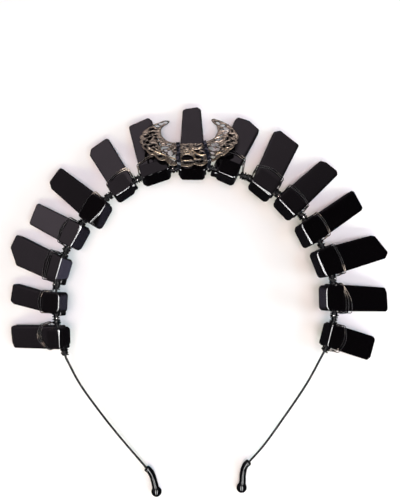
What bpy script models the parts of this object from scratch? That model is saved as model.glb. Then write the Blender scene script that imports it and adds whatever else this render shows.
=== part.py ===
# Diadem: black stone slabs fanned round a wire band, one long bead in front of each
# slab, and a pierced metal crescent tied over the middle one.
# It lies face up, as it rests on a table: the slabs lean out and down to the surface
# and the two legs of the band run down to their rubber tips.
# Lengths are in metres, +Z is up, and +Y points from the head opening to the crescent.

import math
from collections import namedtuple

import bmesh
import bpy
from mathutils import Matrix, Vector
from mathutils.geometry import delaunay_2d_cdt

MM = 0.001

# Gap kept between pieces that touch
CLEARANCE = 0.3 * MM

# Band: one springy wire, an oval arc that carries the stones, with two bare legs
BAND_HALF_WIDTH = 73.6 * MM
BAND_REACH = 71.4 * MM
BAND_HEIGHT = 26.0 * MM
BAND_WIRE = 1.2 * MM
BAND_SIDES = 8
LEG_DROP = 107.5 * MM

# Rubber tips on the ends of the legs
TIP_TUBE = 3.3 * MM
TIP_BULB = 4.6 * MM
TIP_BORE_DEPTH = 4.0 * MM
TIP_SIDES = 12

# Long beads, threaded on the band
BEAD_LENGTH = 13.0 * MM
BEAD_WIDTH = 9.3 * MM
BEAD_THICKNESS = 8.2 * MM
BEAD_ROUNDING = 0.9 * MM
BORE_SIDES = 8

# Slabs behind the beads
SLAB_WIDTH = 12.5 * MM
SLAB_REACH = 40.0 * MM
SLAB_THICKNESS = 5.0 * MM
SLAB_BEVEL = 0.45 * MM
SLAB_ROOT = 0.5 * MM

# Thin binding wire that lashes each slab to the band
BINDING_WIRE = 0.5 * MM
BINDING_SIDES = 5
LASHING_REACH = 13.0 * MM
LASHING_PITCH = 1.2 * MM
COIL_TURNS = 2
END_COIL_TURNS = 4
COIL_STEPS = 5
COIL_PITCH = 0.65 * MM

# Pierced crescent
MOON_HALF_WIDTH = 26.0 * MM
MOON_FOOT = 21.8 * MM
MOON_HORN = 18.2 * MM
MOON_HOLLOW_HALF_WIDTH = 15.3 * MM
MOON_HOLLOW_DEPTH = 11.3 * MM
MOON_HOLLOW_HORN = 14.6 * MM
MOON_HOLLOW_RISE = 6.9 * MM
MOON_FOOT_ROUNDNESS = 1.72
MOON_HOLLOW_ROUNDNESS = 3.0
MOON_LEAN = 44.0
MOON_TWIST = 2.0
MOON_SHIFT = -1.3 * MM
MOON_OVERHANG = 7.5 * MM
MOON_THICKNESS = 1.3 * MM
MOON_RELIEF = 0.5 * MM
MOON_RELIEF_SPREAD = 0.7 * MM
SCALLOP_COUNT = 26
SCALLOP_DEPTH = 0.55 * MM
SCALLOP_STEPS = 3
HOLLOW_STEPS = 36

# Ties that hold the crescent to the band
TIE_TURNS = 3
TIE_PITCH = 0.55 * MM
TIE_SLANT = 1.6 * MM

# One row per station, from the left leg round to the right leg.
# angle is where it sits on the oval, in degrees clockwise from the middle.
# root holds the two edges of the slab where it tucks under its bead, and end its outer
# corners, left to right. Across is a share of SLAB_WIDTH, reach a share of SLAB_REACH.
# bead_length is a share of BEAD_LENGTH, bead_turn the bead's twist in degrees, and
# bead_out how far it sits out from its bore, as a share of BEAD_WIDTH. lashing is how
# far out its binding crosses the slab, as a share of LASHING_REACH.
Station = namedtuple("Station", "angle root end bead_length bead_turn bead_out lashing")
STATIONS = (
    Station(
        -104.9, (-0.50, 0.36), ((0.00, 0.92), (1.01, 0.88)),
        0.88, 12.0, 0.12, 1.28,
    ),
    Station(
        -89.5, (-0.56, 0.19), ((-0.22, 0.83), (-0.08, 0.91), (0.69, 0.86)),
        0.97, 0.0, 0.14, 1.20,
    ),
    Station(
        -75.6, (-0.62, 0.48), ((-0.37, 0.82), (0.29, 0.99), (0.88, 0.96)),
        1.00, -1.0, 0.03, 1.06,
    ),
    Station(
        -60.1, (-0.51, 0.55), ((-0.65, 0.86), (0.27, 0.91)),
        0.92, -5.0, 0.08, 1.04,
    ),
    Station(
        -46.4, (-0.47, 0.58), ((-0.66, 0.84), (-0.57, 0.93), (0.22, 0.96)),
        1.00, -13.0, -0.04, 0.92,
    ),
    Station(
        -31.5, (-0.43, 0.57), ((-0.47, 0.86), (-0.41, 0.90), (0.47, 0.92)),
        1.00, -3.0, 0.05, 0.95,
    ),
    Station(
        -16.3, (-0.57, 0.51), ((-0.58, 0.93), (0.30, 0.98), (0.40, 0.91)),
        1.13, 0.0, 0.04, 1.12,
    ),
    Station(
        -1.2, (-0.55, 0.54), ((-0.37, 1.01), (-0.19, 1.04), (0.30, 1.05), (0.43, 1.00)),
        1.05, 1.2, 0.02, 1.00,
    ),
    Station(
        13.8, (-0.70, 0.27), ((-0.21, 0.91), (-0.13, 0.97), (0.36, 0.95), (0.86, 0.85)),
        1.00, 11.0, 0.03, 1.22,
    ),
    Station(
        29.4, (-0.43, 0.52), ((-0.60, 0.94), (-0.46, 0.99), (0.51, 0.92)),
        0.85, 9.0, 0.08, 1.05,
    ),
    Station(
        42.3, (-0.52, 0.55), ((-0.11, 0.93), (0.17, 0.99), (0.70, 0.99), (0.81, 0.94)),
        0.88, 7.0, 0.05, 1.04,
    ),
    Station(
        57.0, (-0.34, 0.55), ((-0.38, 0.97), (-0.24, 1.00), (0.54, 0.96), (0.60, 0.91)),
        0.88, 0.0, -0.08, 1.06,
    ),
    Station(
        71.9, (-0.56, 0.62), ((-0.32, 0.87), (-0.26, 0.93), (0.60, 1.07), (0.78, 0.98)),
        0.96, -3.5, -0.08, 1.00,
    ),
    Station(
        88.0, (-0.53, 0.55), ((-0.30, 0.93), (0.05, 0.98), (0.67, 0.99), (0.75, 0.95)),
        1.00, 2.0, -0.10, 1.08,
    ),
    Station(
        103.9, (-0.45, 0.51), ((-0.35, 0.83), (-0.22, 0.89), (0.61, 0.87), (0.70, 0.83)),
        0.83, 0.0, 0.10, 1.20,
    ),
)
MIDDLE = len(STATIONS) // 2

# Legs and tips: across is a share of BAND_HALF_WIDTH, drop of LEG_DROP and rise of
# BAND_HEIGHT. The wire follows the leg's rows, and the rubber tip runs on from the last.
Route = namedtuple("Route", "across drop rise")
LEFT_LEG = (
    Route(-0.929, 0.271, 1.00),
    Route(-0.837, 0.407, 0.83),
    Route(-0.701, 0.555, 0.63),
    Route(-0.560, 0.692, 0.45),
    Route(-0.368, 0.865, 0.22),
)
LEFT_TIP = (
    Route(-0.342, 0.883, 0.19),
    Route(-0.321, 0.916, 0.14),
    Route(-0.306, 0.961, 0.10),
    Route(-0.291, 1.000, 0.09),
)
RIGHT_LEG = (
    Route(0.921, 0.251, 1.00),
    Route(0.808, 0.413, 0.79),
    Route(0.637, 0.608, 0.53),
    Route(0.515, 0.738, 0.36),
    Route(0.406, 0.833, 0.23),
)
RIGHT_TIP = (
    Route(0.376, 0.856, 0.20),
    Route(0.361, 0.901, 0.14),
    Route(0.359, 0.946, 0.10),
    Route(0.352, 0.969, 0.09),
)

# Gaps of the crescent. along runs from 0 in the middle to 1 at a horn's point and
# across from 0 at the outer rim to 1 at the hollow; lean slants a gap.
GapRow = namedtuple("GapRow", "across half_across first last count half_along lean")
SIDE_GAP_ROWS = (
    GapRow(0.24, 0.085, 0.160, 0.790, 10, 0.024, 0.35),
    GapRow(0.49, 0.085, 0.195, 0.755, 9, 0.024, -0.35),
    GapRow(0.75, 0.085, 0.160, 0.720, 9, 0.026, 0.35),
    GapRow(0.52, 0.170, 0.835, 0.925, 3, 0.016, 0.00),
)
Gap = namedtuple("Gap", "along across half_along half_across")
CENTRE_SIDE_GAPS = (
    Gap(0.088, 0.310, 0.030, 0.085),
    Gap(0.060, 0.600, 0.014, 0.060),
    Gap(0.108, 0.560, 0.014, 0.110),
    Gap(0.070, 0.850, 0.024, 0.050),
    Gap(0.118, 0.830, 0.010, 0.070),
)
CENTRE_EYES = (
    Gap(0.000, 0.860, 0.013, 0.040),
    Gap(0.000, 0.730, 0.010, 0.036),
    Gap(-0.014, 0.645, 0.010, 0.036),
    Gap(0.014, 0.645, 0.010, 0.036),
    Gap(-0.028, 0.560, 0.010, 0.036),
    Gap(0.000, 0.560, 0.010, 0.036),
    Gap(0.028, 0.560, 0.010, 0.036),
)
LEAF = ((-1.0, 0.0), (-0.45, -0.8), (0.55, -0.9), (1.0, 0.0), (0.45, 0.8), (-0.55, 0.9))
ARCH = Gap(0.000, 0.250, 0.046, 0.210)
ARCH_STEPS = 6

# Finishes: colour, roughness, metallic
STONE = ("black_stone", (0.018, 0.016, 0.019), 0.28, 0.0)
BEAD_STONE = ("black_bead_stone", (0.014, 0.013, 0.016), 0.22, 0.0)
WIRE = ("blackened_wire", (0.035, 0.031, 0.033), 0.35, 0.9)
RUBBER = ("black_rubber", (0.012, 0.012, 0.014), 0.45, 0.0)
BRONZE = ("antique_bronze", (0.33, 0.24, 0.15), 0.42, 0.9)


def clear_scene():
    for obj in list(bpy.data.objects):
        bpy.data.objects.remove(obj, do_unlink=True)


def finish_material(finish):
    name, colour, roughness, metallic = finish
    found = bpy.data.materials.get(name)
    if found:
        return found
    made = bpy.data.materials.new(name)
    made.use_nodes = True
    shader = made.node_tree.nodes["Principled BSDF"]
    shader.inputs["Base Color"].default_value = (*colour, 1.0)
    shader.inputs["Roughness"].default_value = roughness
    shader.inputs["Metallic"].default_value = metallic
    made.diffuse_color = (*colour, 1.0)
    return made


def add_object(name, mesh_data, finish, parent, place=Matrix.Identity(4), smooth=False):
    mesh = bpy.data.meshes.new(name)
    mesh_data.to_mesh(mesh)
    mesh_data.free()
    obj = bpy.data.objects.new(name, mesh)
    bpy.context.collection.objects.link(obj)
    obj.data.materials.append(finish_material(finish))
    obj.parent = parent
    obj.location = place.to_translation()
    obj.rotation_euler = place.to_euler()
    for polygon in mesh.polygons:
        polygon.use_smooth = smooth
    return obj


def hide_cutter(cutter):
    cutter.hide_render = True
    cutter.display_type = "WIRE"


def cut(obj, cutter):
    modifier = obj.modifiers.new("bore", "BOOLEAN")
    modifier.operation = "DIFFERENCE"
    modifier.solver = "EXACT"
    modifier.object = cutter


# A smooth run through a few points, as an even list of points
def smooth_run(points, steps):
    padded = [points[0] * 2 - points[1], *points, points[-1] * 2 - points[-2]]
    run = []
    for index in range(1, len(padded) - 2):
        before, start, end, after = padded[index - 1:index + 3]
        for step in range(steps):
            t = step / steps
            run.append(0.5 * (
                start * 2
                + (end - before) * t
                + (before * 2 - start * 5 + end * 4 - after) * t * t
                + (start * 3 - before - end * 3 + after) * t * t * t
            ))
    run.append(points[-1].copy())
    return run


# A polyline that can be read at any distance from its start
class Path:
    def __init__(self, points):
        self.points = points
        self.lengths = [0.0]
        for start, end in zip(points, points[1:]):
            self.lengths.append(self.lengths[-1] + (end - start).length)

    def index_at(self, distance):
        for index in range(1, len(self.points) - 1):
            if self.lengths[index] >= distance:
                return index
        return len(self.points) - 1

    def at(self, distance):
        index = self.index_at(distance)
        start, end = self.points[index - 1], self.points[index]
        span = self.lengths[index] - self.lengths[index - 1]
        return start.lerp(end, (distance - self.lengths[index - 1]) / span)

    def direction(self, distance):
        index = self.index_at(distance)
        return (self.points[index] - self.points[index - 1]).normalized()


# A closed tube round a run of points, with flat ends
def tube_mesh(points, radii, sides):
    shape = bmesh.new()
    rings = []
    normal = None
    for index, point in enumerate(points):
        ahead = points[min(index + 1, len(points) - 1)] - point
        behind = point - points[max(index - 1, 0)]
        direction = (ahead.normalized() + behind.normalized()).normalized()
        if normal is None:
            normal = direction.orthogonal().normalized()
        normal = (normal - direction * normal.dot(direction)).normalized()
        side = direction.cross(normal)
        ring = []
        for step in range(sides):
            turn = math.tau * step / sides
            offset = normal * math.cos(turn) + side * math.sin(turn)
            ring.append(shape.verts.new(point + offset * radii[index]))
        rings.append(ring)
    for near, far in zip(rings, rings[1:]):
        for step in range(sides):
            after = (step + 1) % sides
            shape.faces.new((near[step], near[after], far[after], far[step]))
    shape.faces.new(tuple(reversed(rings[0])))
    shape.faces.new(tuple(rings[-1]))
    return shape


# Place on the band's oval, with its directions: along the band, outward, up
def band_frame(angle):
    turn = math.radians(angle)
    place = Vector((
        BAND_HALF_WIDTH * math.sin(turn),
        BAND_REACH * math.cos(turn),
        BAND_HEIGHT,
    ))
    along = Vector((
        BAND_HALF_WIDTH * math.cos(turn),
        -BAND_REACH * math.sin(turn),
        0.0,
    )).normalized()
    outward = Vector((-along.y, along.x, 0.0))
    return place, along, outward


# Lean at which the far lower edge of a station's slab reaches the surface
def station_lean(station):
    reach = max(corner[1] for corner in station.end) * SLAB_REACH
    depth = BEAD_THICKNESS / 2 + CLEARANCE + SLAB_THICKNESS
    return math.asin(BAND_HEIGHT / math.hypot(reach, depth)) - math.atan2(depth, reach)


# Station frame: x along the band, y out along the leaning slab, z out of its face
def station_matrix(station):
    place, along, outward = band_frame(station.angle)
    lean = station_lean(station)
    up = Vector((0.0, 0.0, 1.0))
    out = outward * math.cos(lean) - up * math.sin(lean)
    face = outward * math.sin(lean) + up * math.cos(lean)
    turn = Matrix((along, out, face)).transposed()
    return Matrix.Translation(place) @ turn.to_4x4()


def bead_half_length(station):
    return station.bead_length * BEAD_LENGTH / 2


# How far the corners of a twisted bead reach along the band
def bead_corner(station):
    turn = abs(math.radians(station.bead_turn))
    width = BEAD_WIDTH * (0.5 + abs(station.bead_out))
    return bead_half_length(station) * math.cos(turn) + width * math.sin(turn)


# Distance from a station at which the binding starts on the band wire: clear of the
# bead's end and, in the middle, of the ties too
def coil_start(index):
    station = STATIONS[index]
    turn = abs(math.radians(station.bead_turn))
    off = CLEARANCE + BINDING_WIRE / 2
    bead_end = bead_half_length(station) / math.cos(turn)
    bead_end += (BAND_WIRE / 2 + off) * math.tan(turn)
    if index == MIDDLE:
        return bead_corner(station) + 3 * off + (TIE_TURNS - 1) * TIE_PITCH
    return bead_end + off


# Length of each coil: the neighbours on the band share the room between their beads
def coil_length(index, neighbour, distances):
    if not 0 <= neighbour < len(STATIONS):
        return END_COIL_TURNS * COIL_PITCH
    room = abs(distances[neighbour] - distances[index])
    room -= coil_start(index) + coil_start(neighbour) + CLEARANCE + BINDING_WIRE
    return min(COIL_TURNS * COIL_PITCH, room / 2)


def slab_top():
    return -(BEAD_THICKNESS / 2 + CLEARANCE)


def slab_outline(station):
    root_left, root_right = station.root
    corners = [Vector((root_right * SLAB_WIDTH, SLAB_ROOT))]
    for across, reach in reversed(station.end):
        corners.append(Vector((across * SLAB_WIDTH, reach * SLAB_REACH)))
    corners.append(Vector((root_left * SLAB_WIDTH, SLAB_ROOT)))
    return corners


# Places of a slab's left and right edges at a distance out from the band
def slab_edges(station, out):
    edges = []
    for root, end in ((station.root[0], station.end[0]), (station.root[1], station.end[-1])):
        share = (out - SLAB_ROOT) / (end[1] * SLAB_REACH - SLAB_ROOT)
        edges.append((root + (end[0] - root) * share) * SLAB_WIDTH)
    return edges


def make_slab(number, station, parent):
    shape = bmesh.new()
    top = slab_top()
    corners = [shape.verts.new((*corner, top)) for corner in slab_outline(station)]
    face = shape.faces.new(corners)
    extruded = bmesh.ops.extrude_face_region(shape, geom=[face])
    lower = [item for item in extruded["geom"] if isinstance(item, bmesh.types.BMVert)]
    bmesh.ops.translate(shape, verts=lower, vec=(0.0, 0.0, -SLAB_THICKNESS))
    bmesh.ops.recalc_face_normals(shape, faces=shape.faces)
    slab = add_object(f"slab_{number:02d}", shape, STONE, parent, station_matrix(station))
    bevel = slab.modifiers.new("edge", "BEVEL")
    bevel.width = SLAB_BEVEL
    bevel.segments = 1
    bevel.limit_method = "ANGLE"
    bevel.angle_limit = math.radians(25.0)


def make_bead(number, station, parent):
    shape = bmesh.new()
    bmesh.ops.create_cube(shape, size=1.0)
    size = (2 * bead_half_length(station), BEAD_WIDTH, BEAD_THICKNESS)
    bmesh.ops.scale(shape, verts=shape.verts, vec=size)
    out = station.bead_out * BEAD_WIDTH
    bmesh.ops.translate(shape, verts=shape.verts, vec=(0.0, out, 0.0))
    bmesh.ops.bevel(
        shape,
        geom=list(shape.edges),
        offset=BEAD_ROUNDING,
        segments=2,
        profile=0.5,
        affect="EDGES",
    )
    frame = station_matrix(station)
    turn = Matrix.Rotation(-math.radians(station.bead_turn), 4, "Z")
    bead = add_object(f"bead_{number:02d}", shape, BEAD_STONE, parent, frame @ turn)
    bore = bmesh.new()
    bmesh.ops.create_cone(
        bore,
        cap_ends=True,
        segments=BORE_SIDES,
        radius1=BAND_WIRE / 2 + CLEARANCE,
        radius2=BAND_WIRE / 2 + CLEARANCE,
        depth=2 * BEAD_LENGTH,
    )
    across = Matrix.Rotation(math.pi / 2, 4, "Y")
    bmesh.ops.transform(bore, matrix=across, verts=bore.verts)
    cutter = add_object(f"bore_cutter_{number:02d}", bore, BEAD_STONE, parent, frame)
    hide_cutter(cutter)
    cut(bead, cutter)


def route_points(rows):
    points = []
    for row in rows:
        points.append(Vector((
            row.across * BAND_HALF_WIDTH,
            -row.drop * LEG_DROP,
            row.rise * BAND_HEIGHT,
        )))
    return points


def tip_path(leg, tip):
    points = smooth_run(route_points(leg[-1:] + tip), 4)
    for point in points:
        point.z = max(point.z, TIP_BULB / 2)
    return Path(points)


# The whole band wire: straight through each bead, bent between them, then the legs
def band_path():
    left_tip = tip_path(LEFT_LEG, LEFT_TIP)
    right_tip = tip_path(RIGHT_LEG, RIGHT_TIP)
    wire_end = TIP_BORE_DEPTH - CLEARANCE
    left = smooth_run(list(reversed(route_points(LEFT_LEG))), 3)
    right = smooth_run(route_points(RIGHT_LEG), 3)
    points = [left_tip.at(wire_end), left_tip.at(wire_end / 2), *left]
    straights = []
    for station in STATIONS:
        place, along, outward = band_frame(station.angle)
        half = bead_half_length(station) + CLEARANCE
        straights.append((place - along * half, place + along * half))
    for index, (start, end) in enumerate(straights):
        points.extend((start, end))
        if index + 1 < len(straights):
            after = straights[index + 1][0]
            before_bend = end + (end - start).normalized() * (after - end).length / 3
            next_straight = straights[index + 1]
            back = (next_straight[0] - next_straight[1]).normalized()
            after_bend = after + back * (after - end).length / 3
            points.extend((before_bend, after_bend))
    points.extend(right)
    points.extend((right_tip.at(wire_end / 2), right_tip.at(wire_end)))
    return Path(points)


# Distance along the band at which each station sits
def station_distances(band):
    distances = []
    for station in STATIONS:
        place, along, outward = band_frame(station.angle)
        start = place - along * (bead_half_length(station) + CLEARANCE)
        nearest = min(
            range(len(band.points)),
            key=lambda index: (band.points[index] - start).length,
        )
        distances.append(band.lengths[nearest] + (place - start).length)
    return distances


def make_band(band, parent):
    radii = [BAND_WIRE / 2] * len(band.points)
    shape = tube_mesh(band.points, radii, BAND_SIDES)
    add_object("band_wire", shape, WIRE, parent, smooth=True)


# Rubber tip: a tube that ends in a ball, bored for the wire's end
def make_tip(name, leg, tip, parent):
    path = tip_path(leg, tip)
    ball = TIP_BULB / 2
    tube = TIP_TUBE / 2
    length = path.lengths[-1]
    distances = [0.0, tube * 0.3]
    radii = [tube * 0.85, tube]
    neck = length - math.sqrt(ball * ball - tube * tube)
    for step in range(1, 5):
        distances.append(tube * 0.3 + (neck - tube * 0.3) * step / 4)
        radii.append(tube)
    for angle in (-20, 5, 30, 55, 80):
        turn = math.radians(angle)
        distances.append(length + ball * math.sin(turn))
        radii.append(ball * math.cos(turn))
    end_direction = path.direction(length)
    points = []
    for distance in distances:
        if distance > length:
            points.append(path.points[-1] + end_direction * (distance - length))
        else:
            points.append(path.at(distance))
    obj = add_object(name, tube_mesh(points, radii, TIP_SIDES), RUBBER, parent, smooth=True)
    first = path.at(0.0)
    bore_points = [first - path.direction(0.0) * TIP_TUBE]
    for step in range(4):
        bore_points.append(path.at(TIP_BORE_DEPTH * step / 3))
    bore_radii = [BAND_WIRE / 2 + CLEARANCE] * len(bore_points)
    bore = tube_mesh(bore_points, bore_radii, BORE_SIDES)
    cutter = add_object(f"{name}_cutter", bore, RUBBER, parent)
    hide_cutter(cutter)
    cut(obj, cutter)


# Coil round the band wire, from one distance along it towards another
def coil_points(band, start, length):
    up = Vector((0.0, 0.0, 1.0))
    radius = BAND_WIRE / 2 + CLEARANCE + BINDING_WIRE / 2
    steps = COIL_STEPS * max(1, round(length / COIL_PITCH))
    points = []
    for step in range(steps + 1):
        distance = start + length * step / steps
        direction = band.direction(distance)
        inward = direction.cross(up).normalized()
        top = inward.cross(direction)
        turn = math.tau * step / COIL_STEPS
        points.append(band.at(distance) + radius * (top * math.sin(turn) - inward * math.cos(turn)))
    return points


# Lashing of one slab: coiled on the band, once and a half round the slab just past
# the bead, and coiled on the band again at the bead's other end
def make_lashing(index, band, distances, parent):
    station = STATIONS[index]
    frame = station_matrix(station)
    off = CLEARANCE + BINDING_WIRE / 2
    start = coil_start(index)
    beside = max(start, bead_corner(station) + off)
    first = station.lashing * LASHING_REACH
    second = first + LASHING_PITCH
    slant = math.tan(math.radians(station.bead_turn))
    top = slab_top() + off
    bottom = slab_top() - SLAB_THICKNESS - off
    side_top = slab_top() - off
    side_bottom = slab_top() - SLAB_THICKNESS + off

    def corner(out, edge, height, outward):
        left, right = slab_edges(station, out)
        across = left - outward if edge == "left" else right + outward
        return frame @ Vector((across, out - across * slant, height))

    left_length = coil_length(index, index - 1, distances)
    right_length = coil_length(index, index + 1, distances)
    left_coil = coil_points(band, distances[index] - start - left_length, left_length)
    right_coil = coil_points(band, distances[index] + start, right_length)
    middle = (first + second) / 2
    wrap = [
        frame @ Vector((-beside, first / 2, -off)),
        corner(first, "left", side_top, off),
        corner(first, "left", top, 0.0),
        corner(first, "right", top, 0.0),
        corner(first, "right", side_top, off),
        corner(first, "right", side_bottom, off),
        corner(middle, "right", bottom, 0.0),
        corner(middle, "left", bottom, 0.0),
        corner(second, "left", side_bottom, off),
        corner(second, "left", side_top, off),
        corner(second, "left", top, 0.0),
        corner(second, "right", top, 0.0),
        corner(second, "right", side_top, off),
        frame @ Vector((beside, first / 2, -off)),
    ]
    points = left_coil + wrap + right_coil
    radii = [BINDING_WIRE / 2] * len(points)
    shape = tube_mesh(points, radii, BINDING_SIDES)
    add_object(f"lashing_{index + 1:02d}", shape, WIRE, parent, smooth=True)


# Frame of the crescent: x across, y down its slope towards the horns, z out of its
# face. Its back rests on the outer front edge of the middle bead.
def moon_matrix():
    station = STATIONS[MIDDLE]
    frame = station_matrix(station)
    along = frame.to_3x3() @ Vector((1.0, 0.0, 0.0))
    up = Vector((0.0, 0.0, 1.0))
    outward = up.cross(along).normalized()
    lean = math.radians(MOON_LEAN)
    out = outward * math.cos(lean) - up * math.sin(lean)
    face = outward * math.sin(lean) + up * math.cos(lean)
    twist = Matrix.Rotation(math.radians(MOON_TWIST), 4, "Z")
    corners = []
    for out_cut, top_cut in ((BEAD_ROUNDING, 0.0), (0.0, BEAD_ROUNDING)):
        bead_edge = BEAD_WIDTH * (0.5 + station.bead_out)
        local = Vector((0.0, bead_edge - out_cut, BEAD_THICKNESS / 2 - top_cut))
        corners.append(frame @ local)
    seat = max(corners, key=lambda point: point.dot(face))
    back = CLEARANCE + MOON_THICKNESS / 2
    centre = seat + face * back + along * MOON_SHIFT + out * (MOON_FOOT - MOON_OVERHANG)
    turn = Matrix((along, out, face)).transposed()
    return Matrix.Translation(centre) @ turn.to_4x4() @ twist


# Point on an oval at an angle from its foot: the lower half has its own roundness,
# where 2 is an ellipse, less is more pointed and more is squarer
def oval_point(half_width, foot, horn, roundness, angle):
    power = 2.0 / roundness if math.cos(angle) > 0.0 else 1.0
    across = abs(math.sin(angle)) ** power * half_width
    rise = abs(math.cos(angle)) ** power * (-foot if math.cos(angle) > 0.0 else horn)
    return Vector((math.copysign(across, math.sin(angle)), rise))


def outer_point(angle):
    return oval_point(MOON_HALF_WIDTH, MOON_FOOT, MOON_HORN, MOON_FOOT_ROUNDNESS, angle)


def hollow_point(angle):
    point = oval_point(
        MOON_HOLLOW_HALF_WIDTH,
        MOON_HOLLOW_DEPTH,
        MOON_HOLLOW_HORN,
        MOON_HOLLOW_ROUNDNESS,
        angle,
    )
    return point + Vector((0.0, MOON_HOLLOW_RISE))


# Angles at which the two ovals of the crescent cross, at the horns' points
def horn_angles():
    low, high = math.pi / 2, math.pi
    for _ in range(60):
        angle = (low + high) / 2
        point = outer_point(angle)
        inside = (point.x / MOON_HOLLOW_HALF_WIDTH) ** 2
        inside += ((point.y - MOON_HOLLOW_RISE) / MOON_HOLLOW_HORN) ** 2
        if inside > 1.0:
            low = angle
        else:
            high = angle
    across = min(1.0, outer_point(low).x / MOON_HOLLOW_HALF_WIDTH)
    return low, math.pi - math.asin(across)


HORN_ANGLES = horn_angles()


# A place on the crescent from its shares along and across
def moon_point(along, across):
    outer = outer_point(along * HORN_ANGLES[0])
    hollow = hollow_point(along * HORN_ANGLES[1])
    return outer.lerp(hollow, across)


# Height of the outer rim or the hollow's edge at a place across the crescent
def rim_height(across, roundness, half_width, foot):
    share = 1.0 - (abs(across) / half_width) ** roundness
    return -foot * share ** (1.0 / roundness)


def moon_outline():
    points = []
    steps = SCALLOP_COUNT * SCALLOP_STEPS
    for step in range(steps + 1):
        along = -1.0 + 2.0 * step / steps
        wave = abs(math.sin(math.pi * step / SCALLOP_STEPS))
        edge = moon_point(along, 0.0)
        inward = moon_point(along, 0.02) - edge
        if inward.length > 0.0:
            edge = edge - inward.normalized() * SCALLOP_DEPTH * wave
        points.append(edge)
    for step in range(1, HOLLOW_STEPS):
        points.append(moon_point(1.0 - 2.0 * step / HOLLOW_STEPS, 1.0))
    return points


# Leaf-shaped gap with six corners, slanted by lean
def leaf_gap(gap, lean):
    corners = []
    for along, across in LEAF:
        corners.append(moon_point(
            gap.along + gap.half_along * (along + lean * across),
            gap.across + gap.half_across * across,
        ))
    return corners


def eye_gap(gap):
    corners = []
    for along, across in ((-1.0, 0.0), (0.0, -1.0), (1.0, 0.0), (0.0, 1.0)):
        corners.append(moon_point(
            gap.along + gap.half_along * along,
            gap.across + gap.half_across * across,
        ))
    return corners


def arch_gap(gap):
    corners = []
    for step in range(ARCH_STEPS + 1):
        turn = math.pi * step / ARCH_STEPS
        corners.append(moon_point(
            gap.along + gap.half_along * math.cos(turn),
            gap.across + gap.half_across * math.sin(turn),
        ))
    return corners


def moon_gaps():
    gaps = [arch_gap(ARCH)]
    for gap in CENTRE_EYES:
        gaps.append(eye_gap(gap))
    for side in (-1.0, 1.0):
        for gap in CENTRE_SIDE_GAPS:
            mirrored = gap._replace(along=side * gap.along, half_along=side * gap.half_along)
            gaps.append(leaf_gap(mirrored, 0.0))
        for row in SIDE_GAP_ROWS:
            for index in range(row.count):
                along = row.first + (row.last - row.first) * index / (row.count - 1)
                gap = Gap(side * along, row.across, side * row.half_along, row.half_across)
                gaps.append(leaf_gap(gap, row.lean))
    return gaps


def is_inside(point, loop):
    inside = False
    previous = loop[-1]
    for corner in loop:
        if (corner.y > point.y) != (previous.y > point.y):
            share = (point.y - previous.y) / (corner.y - previous.y)
            if point.x < previous.x + share * (corner.x - previous.x):
                inside = not inside
        previous = corner
    return inside


def distance_to_loops(point, loops):
    best = 1.0
    for loop in loops:
        previous = loop[-1]
        for corner in loop:
            span = corner - previous
            share = (point - previous).dot(span) / max(span.length_squared, 1e-12)
            share = min(1.0, max(0.0, share))
            best = min(best, (point - previous - span * share).length)
            previous = corner
    return best


# Places where the relief of the crescent stands highest: along both rims and
# where the strands between the gaps cross
def moon_crests():
    crests = []
    for side in (-1.0, 1.0):
        for step in range(18):
            along = side * (0.02 + 0.88 * step / 18)
            crests.append(moon_point(along, 0.065))
            crests.append(moon_point(along, 0.925))
        for across in (0.365, 0.62):
            for step in range(9):
                crests.append(moon_point(side * (0.178 + 0.07 * step), across))
    return crests


def make_moon(parent):
    outline = moon_outline()
    gaps = moon_gaps()
    loops = [outline, *gaps]
    points, edges = [], []
    for loop in loops:
        first = len(points)
        points.extend(loop)
        for index in range(len(loop)):
            edges.append((first + index, first + (index + 1) % len(loop)))
    for crest in moon_crests():
        if is_inside(crest, outline) and not any(is_inside(crest, gap) for gap in gaps):
            if distance_to_loops(crest, loops) > MOON_RELIEF_SPREAD / 3:
                points.append(crest)
    flat, _, triangles, *_ = delaunay_2d_cdt(points, edges, [], 0, 1e-7)
    kept = []
    for triangle in triangles:
        centre = sum((flat[index] for index in triangle), Vector((0.0, 0.0))) / 3
        if is_inside(centre, outline) and not any(is_inside(centre, gap) for gap in gaps):
            kept.append(triangle)
    used = sorted({index for triangle in kept for index in triangle})
    shape = bmesh.new()
    tops, bottoms = {}, {}
    for index in used:
        point = flat[index]
        rise = min(1.0, distance_to_loops(point, loops) / MOON_RELIEF_SPREAD)
        height = MOON_THICKNESS / 2 + MOON_RELIEF * rise
        tops[index] = shape.verts.new((point.x, point.y, height))
        bottoms[index] = shape.verts.new((point.x, point.y, -MOON_THICKNESS / 2))
    border = {}
    for triangle in kept:
        shape.faces.new([tops[index] for index in triangle])
        shape.faces.new([bottoms[index] for index in reversed(triangle)])
        for start, end in zip(triangle, (*triangle[1:], triangle[0])):
            if (end, start) in border:
                del border[(end, start)]
            else:
                border[(start, end)] = True
    for start, end in border:
        shape.faces.new((tops[end], tops[start], bottoms[start], bottoms[end]))
    bmesh.ops.recalc_face_normals(shape, faces=shape.faces)
    add_object("moon", shape, BRONZE, parent, moon_matrix())


# Place across the crescent that stands at a place along the band
def moon_across(place, height):
    twist = math.radians(MOON_TWIST)
    return (place - MOON_SHIFT + height * math.sin(twist)) / math.cos(twist)


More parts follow.
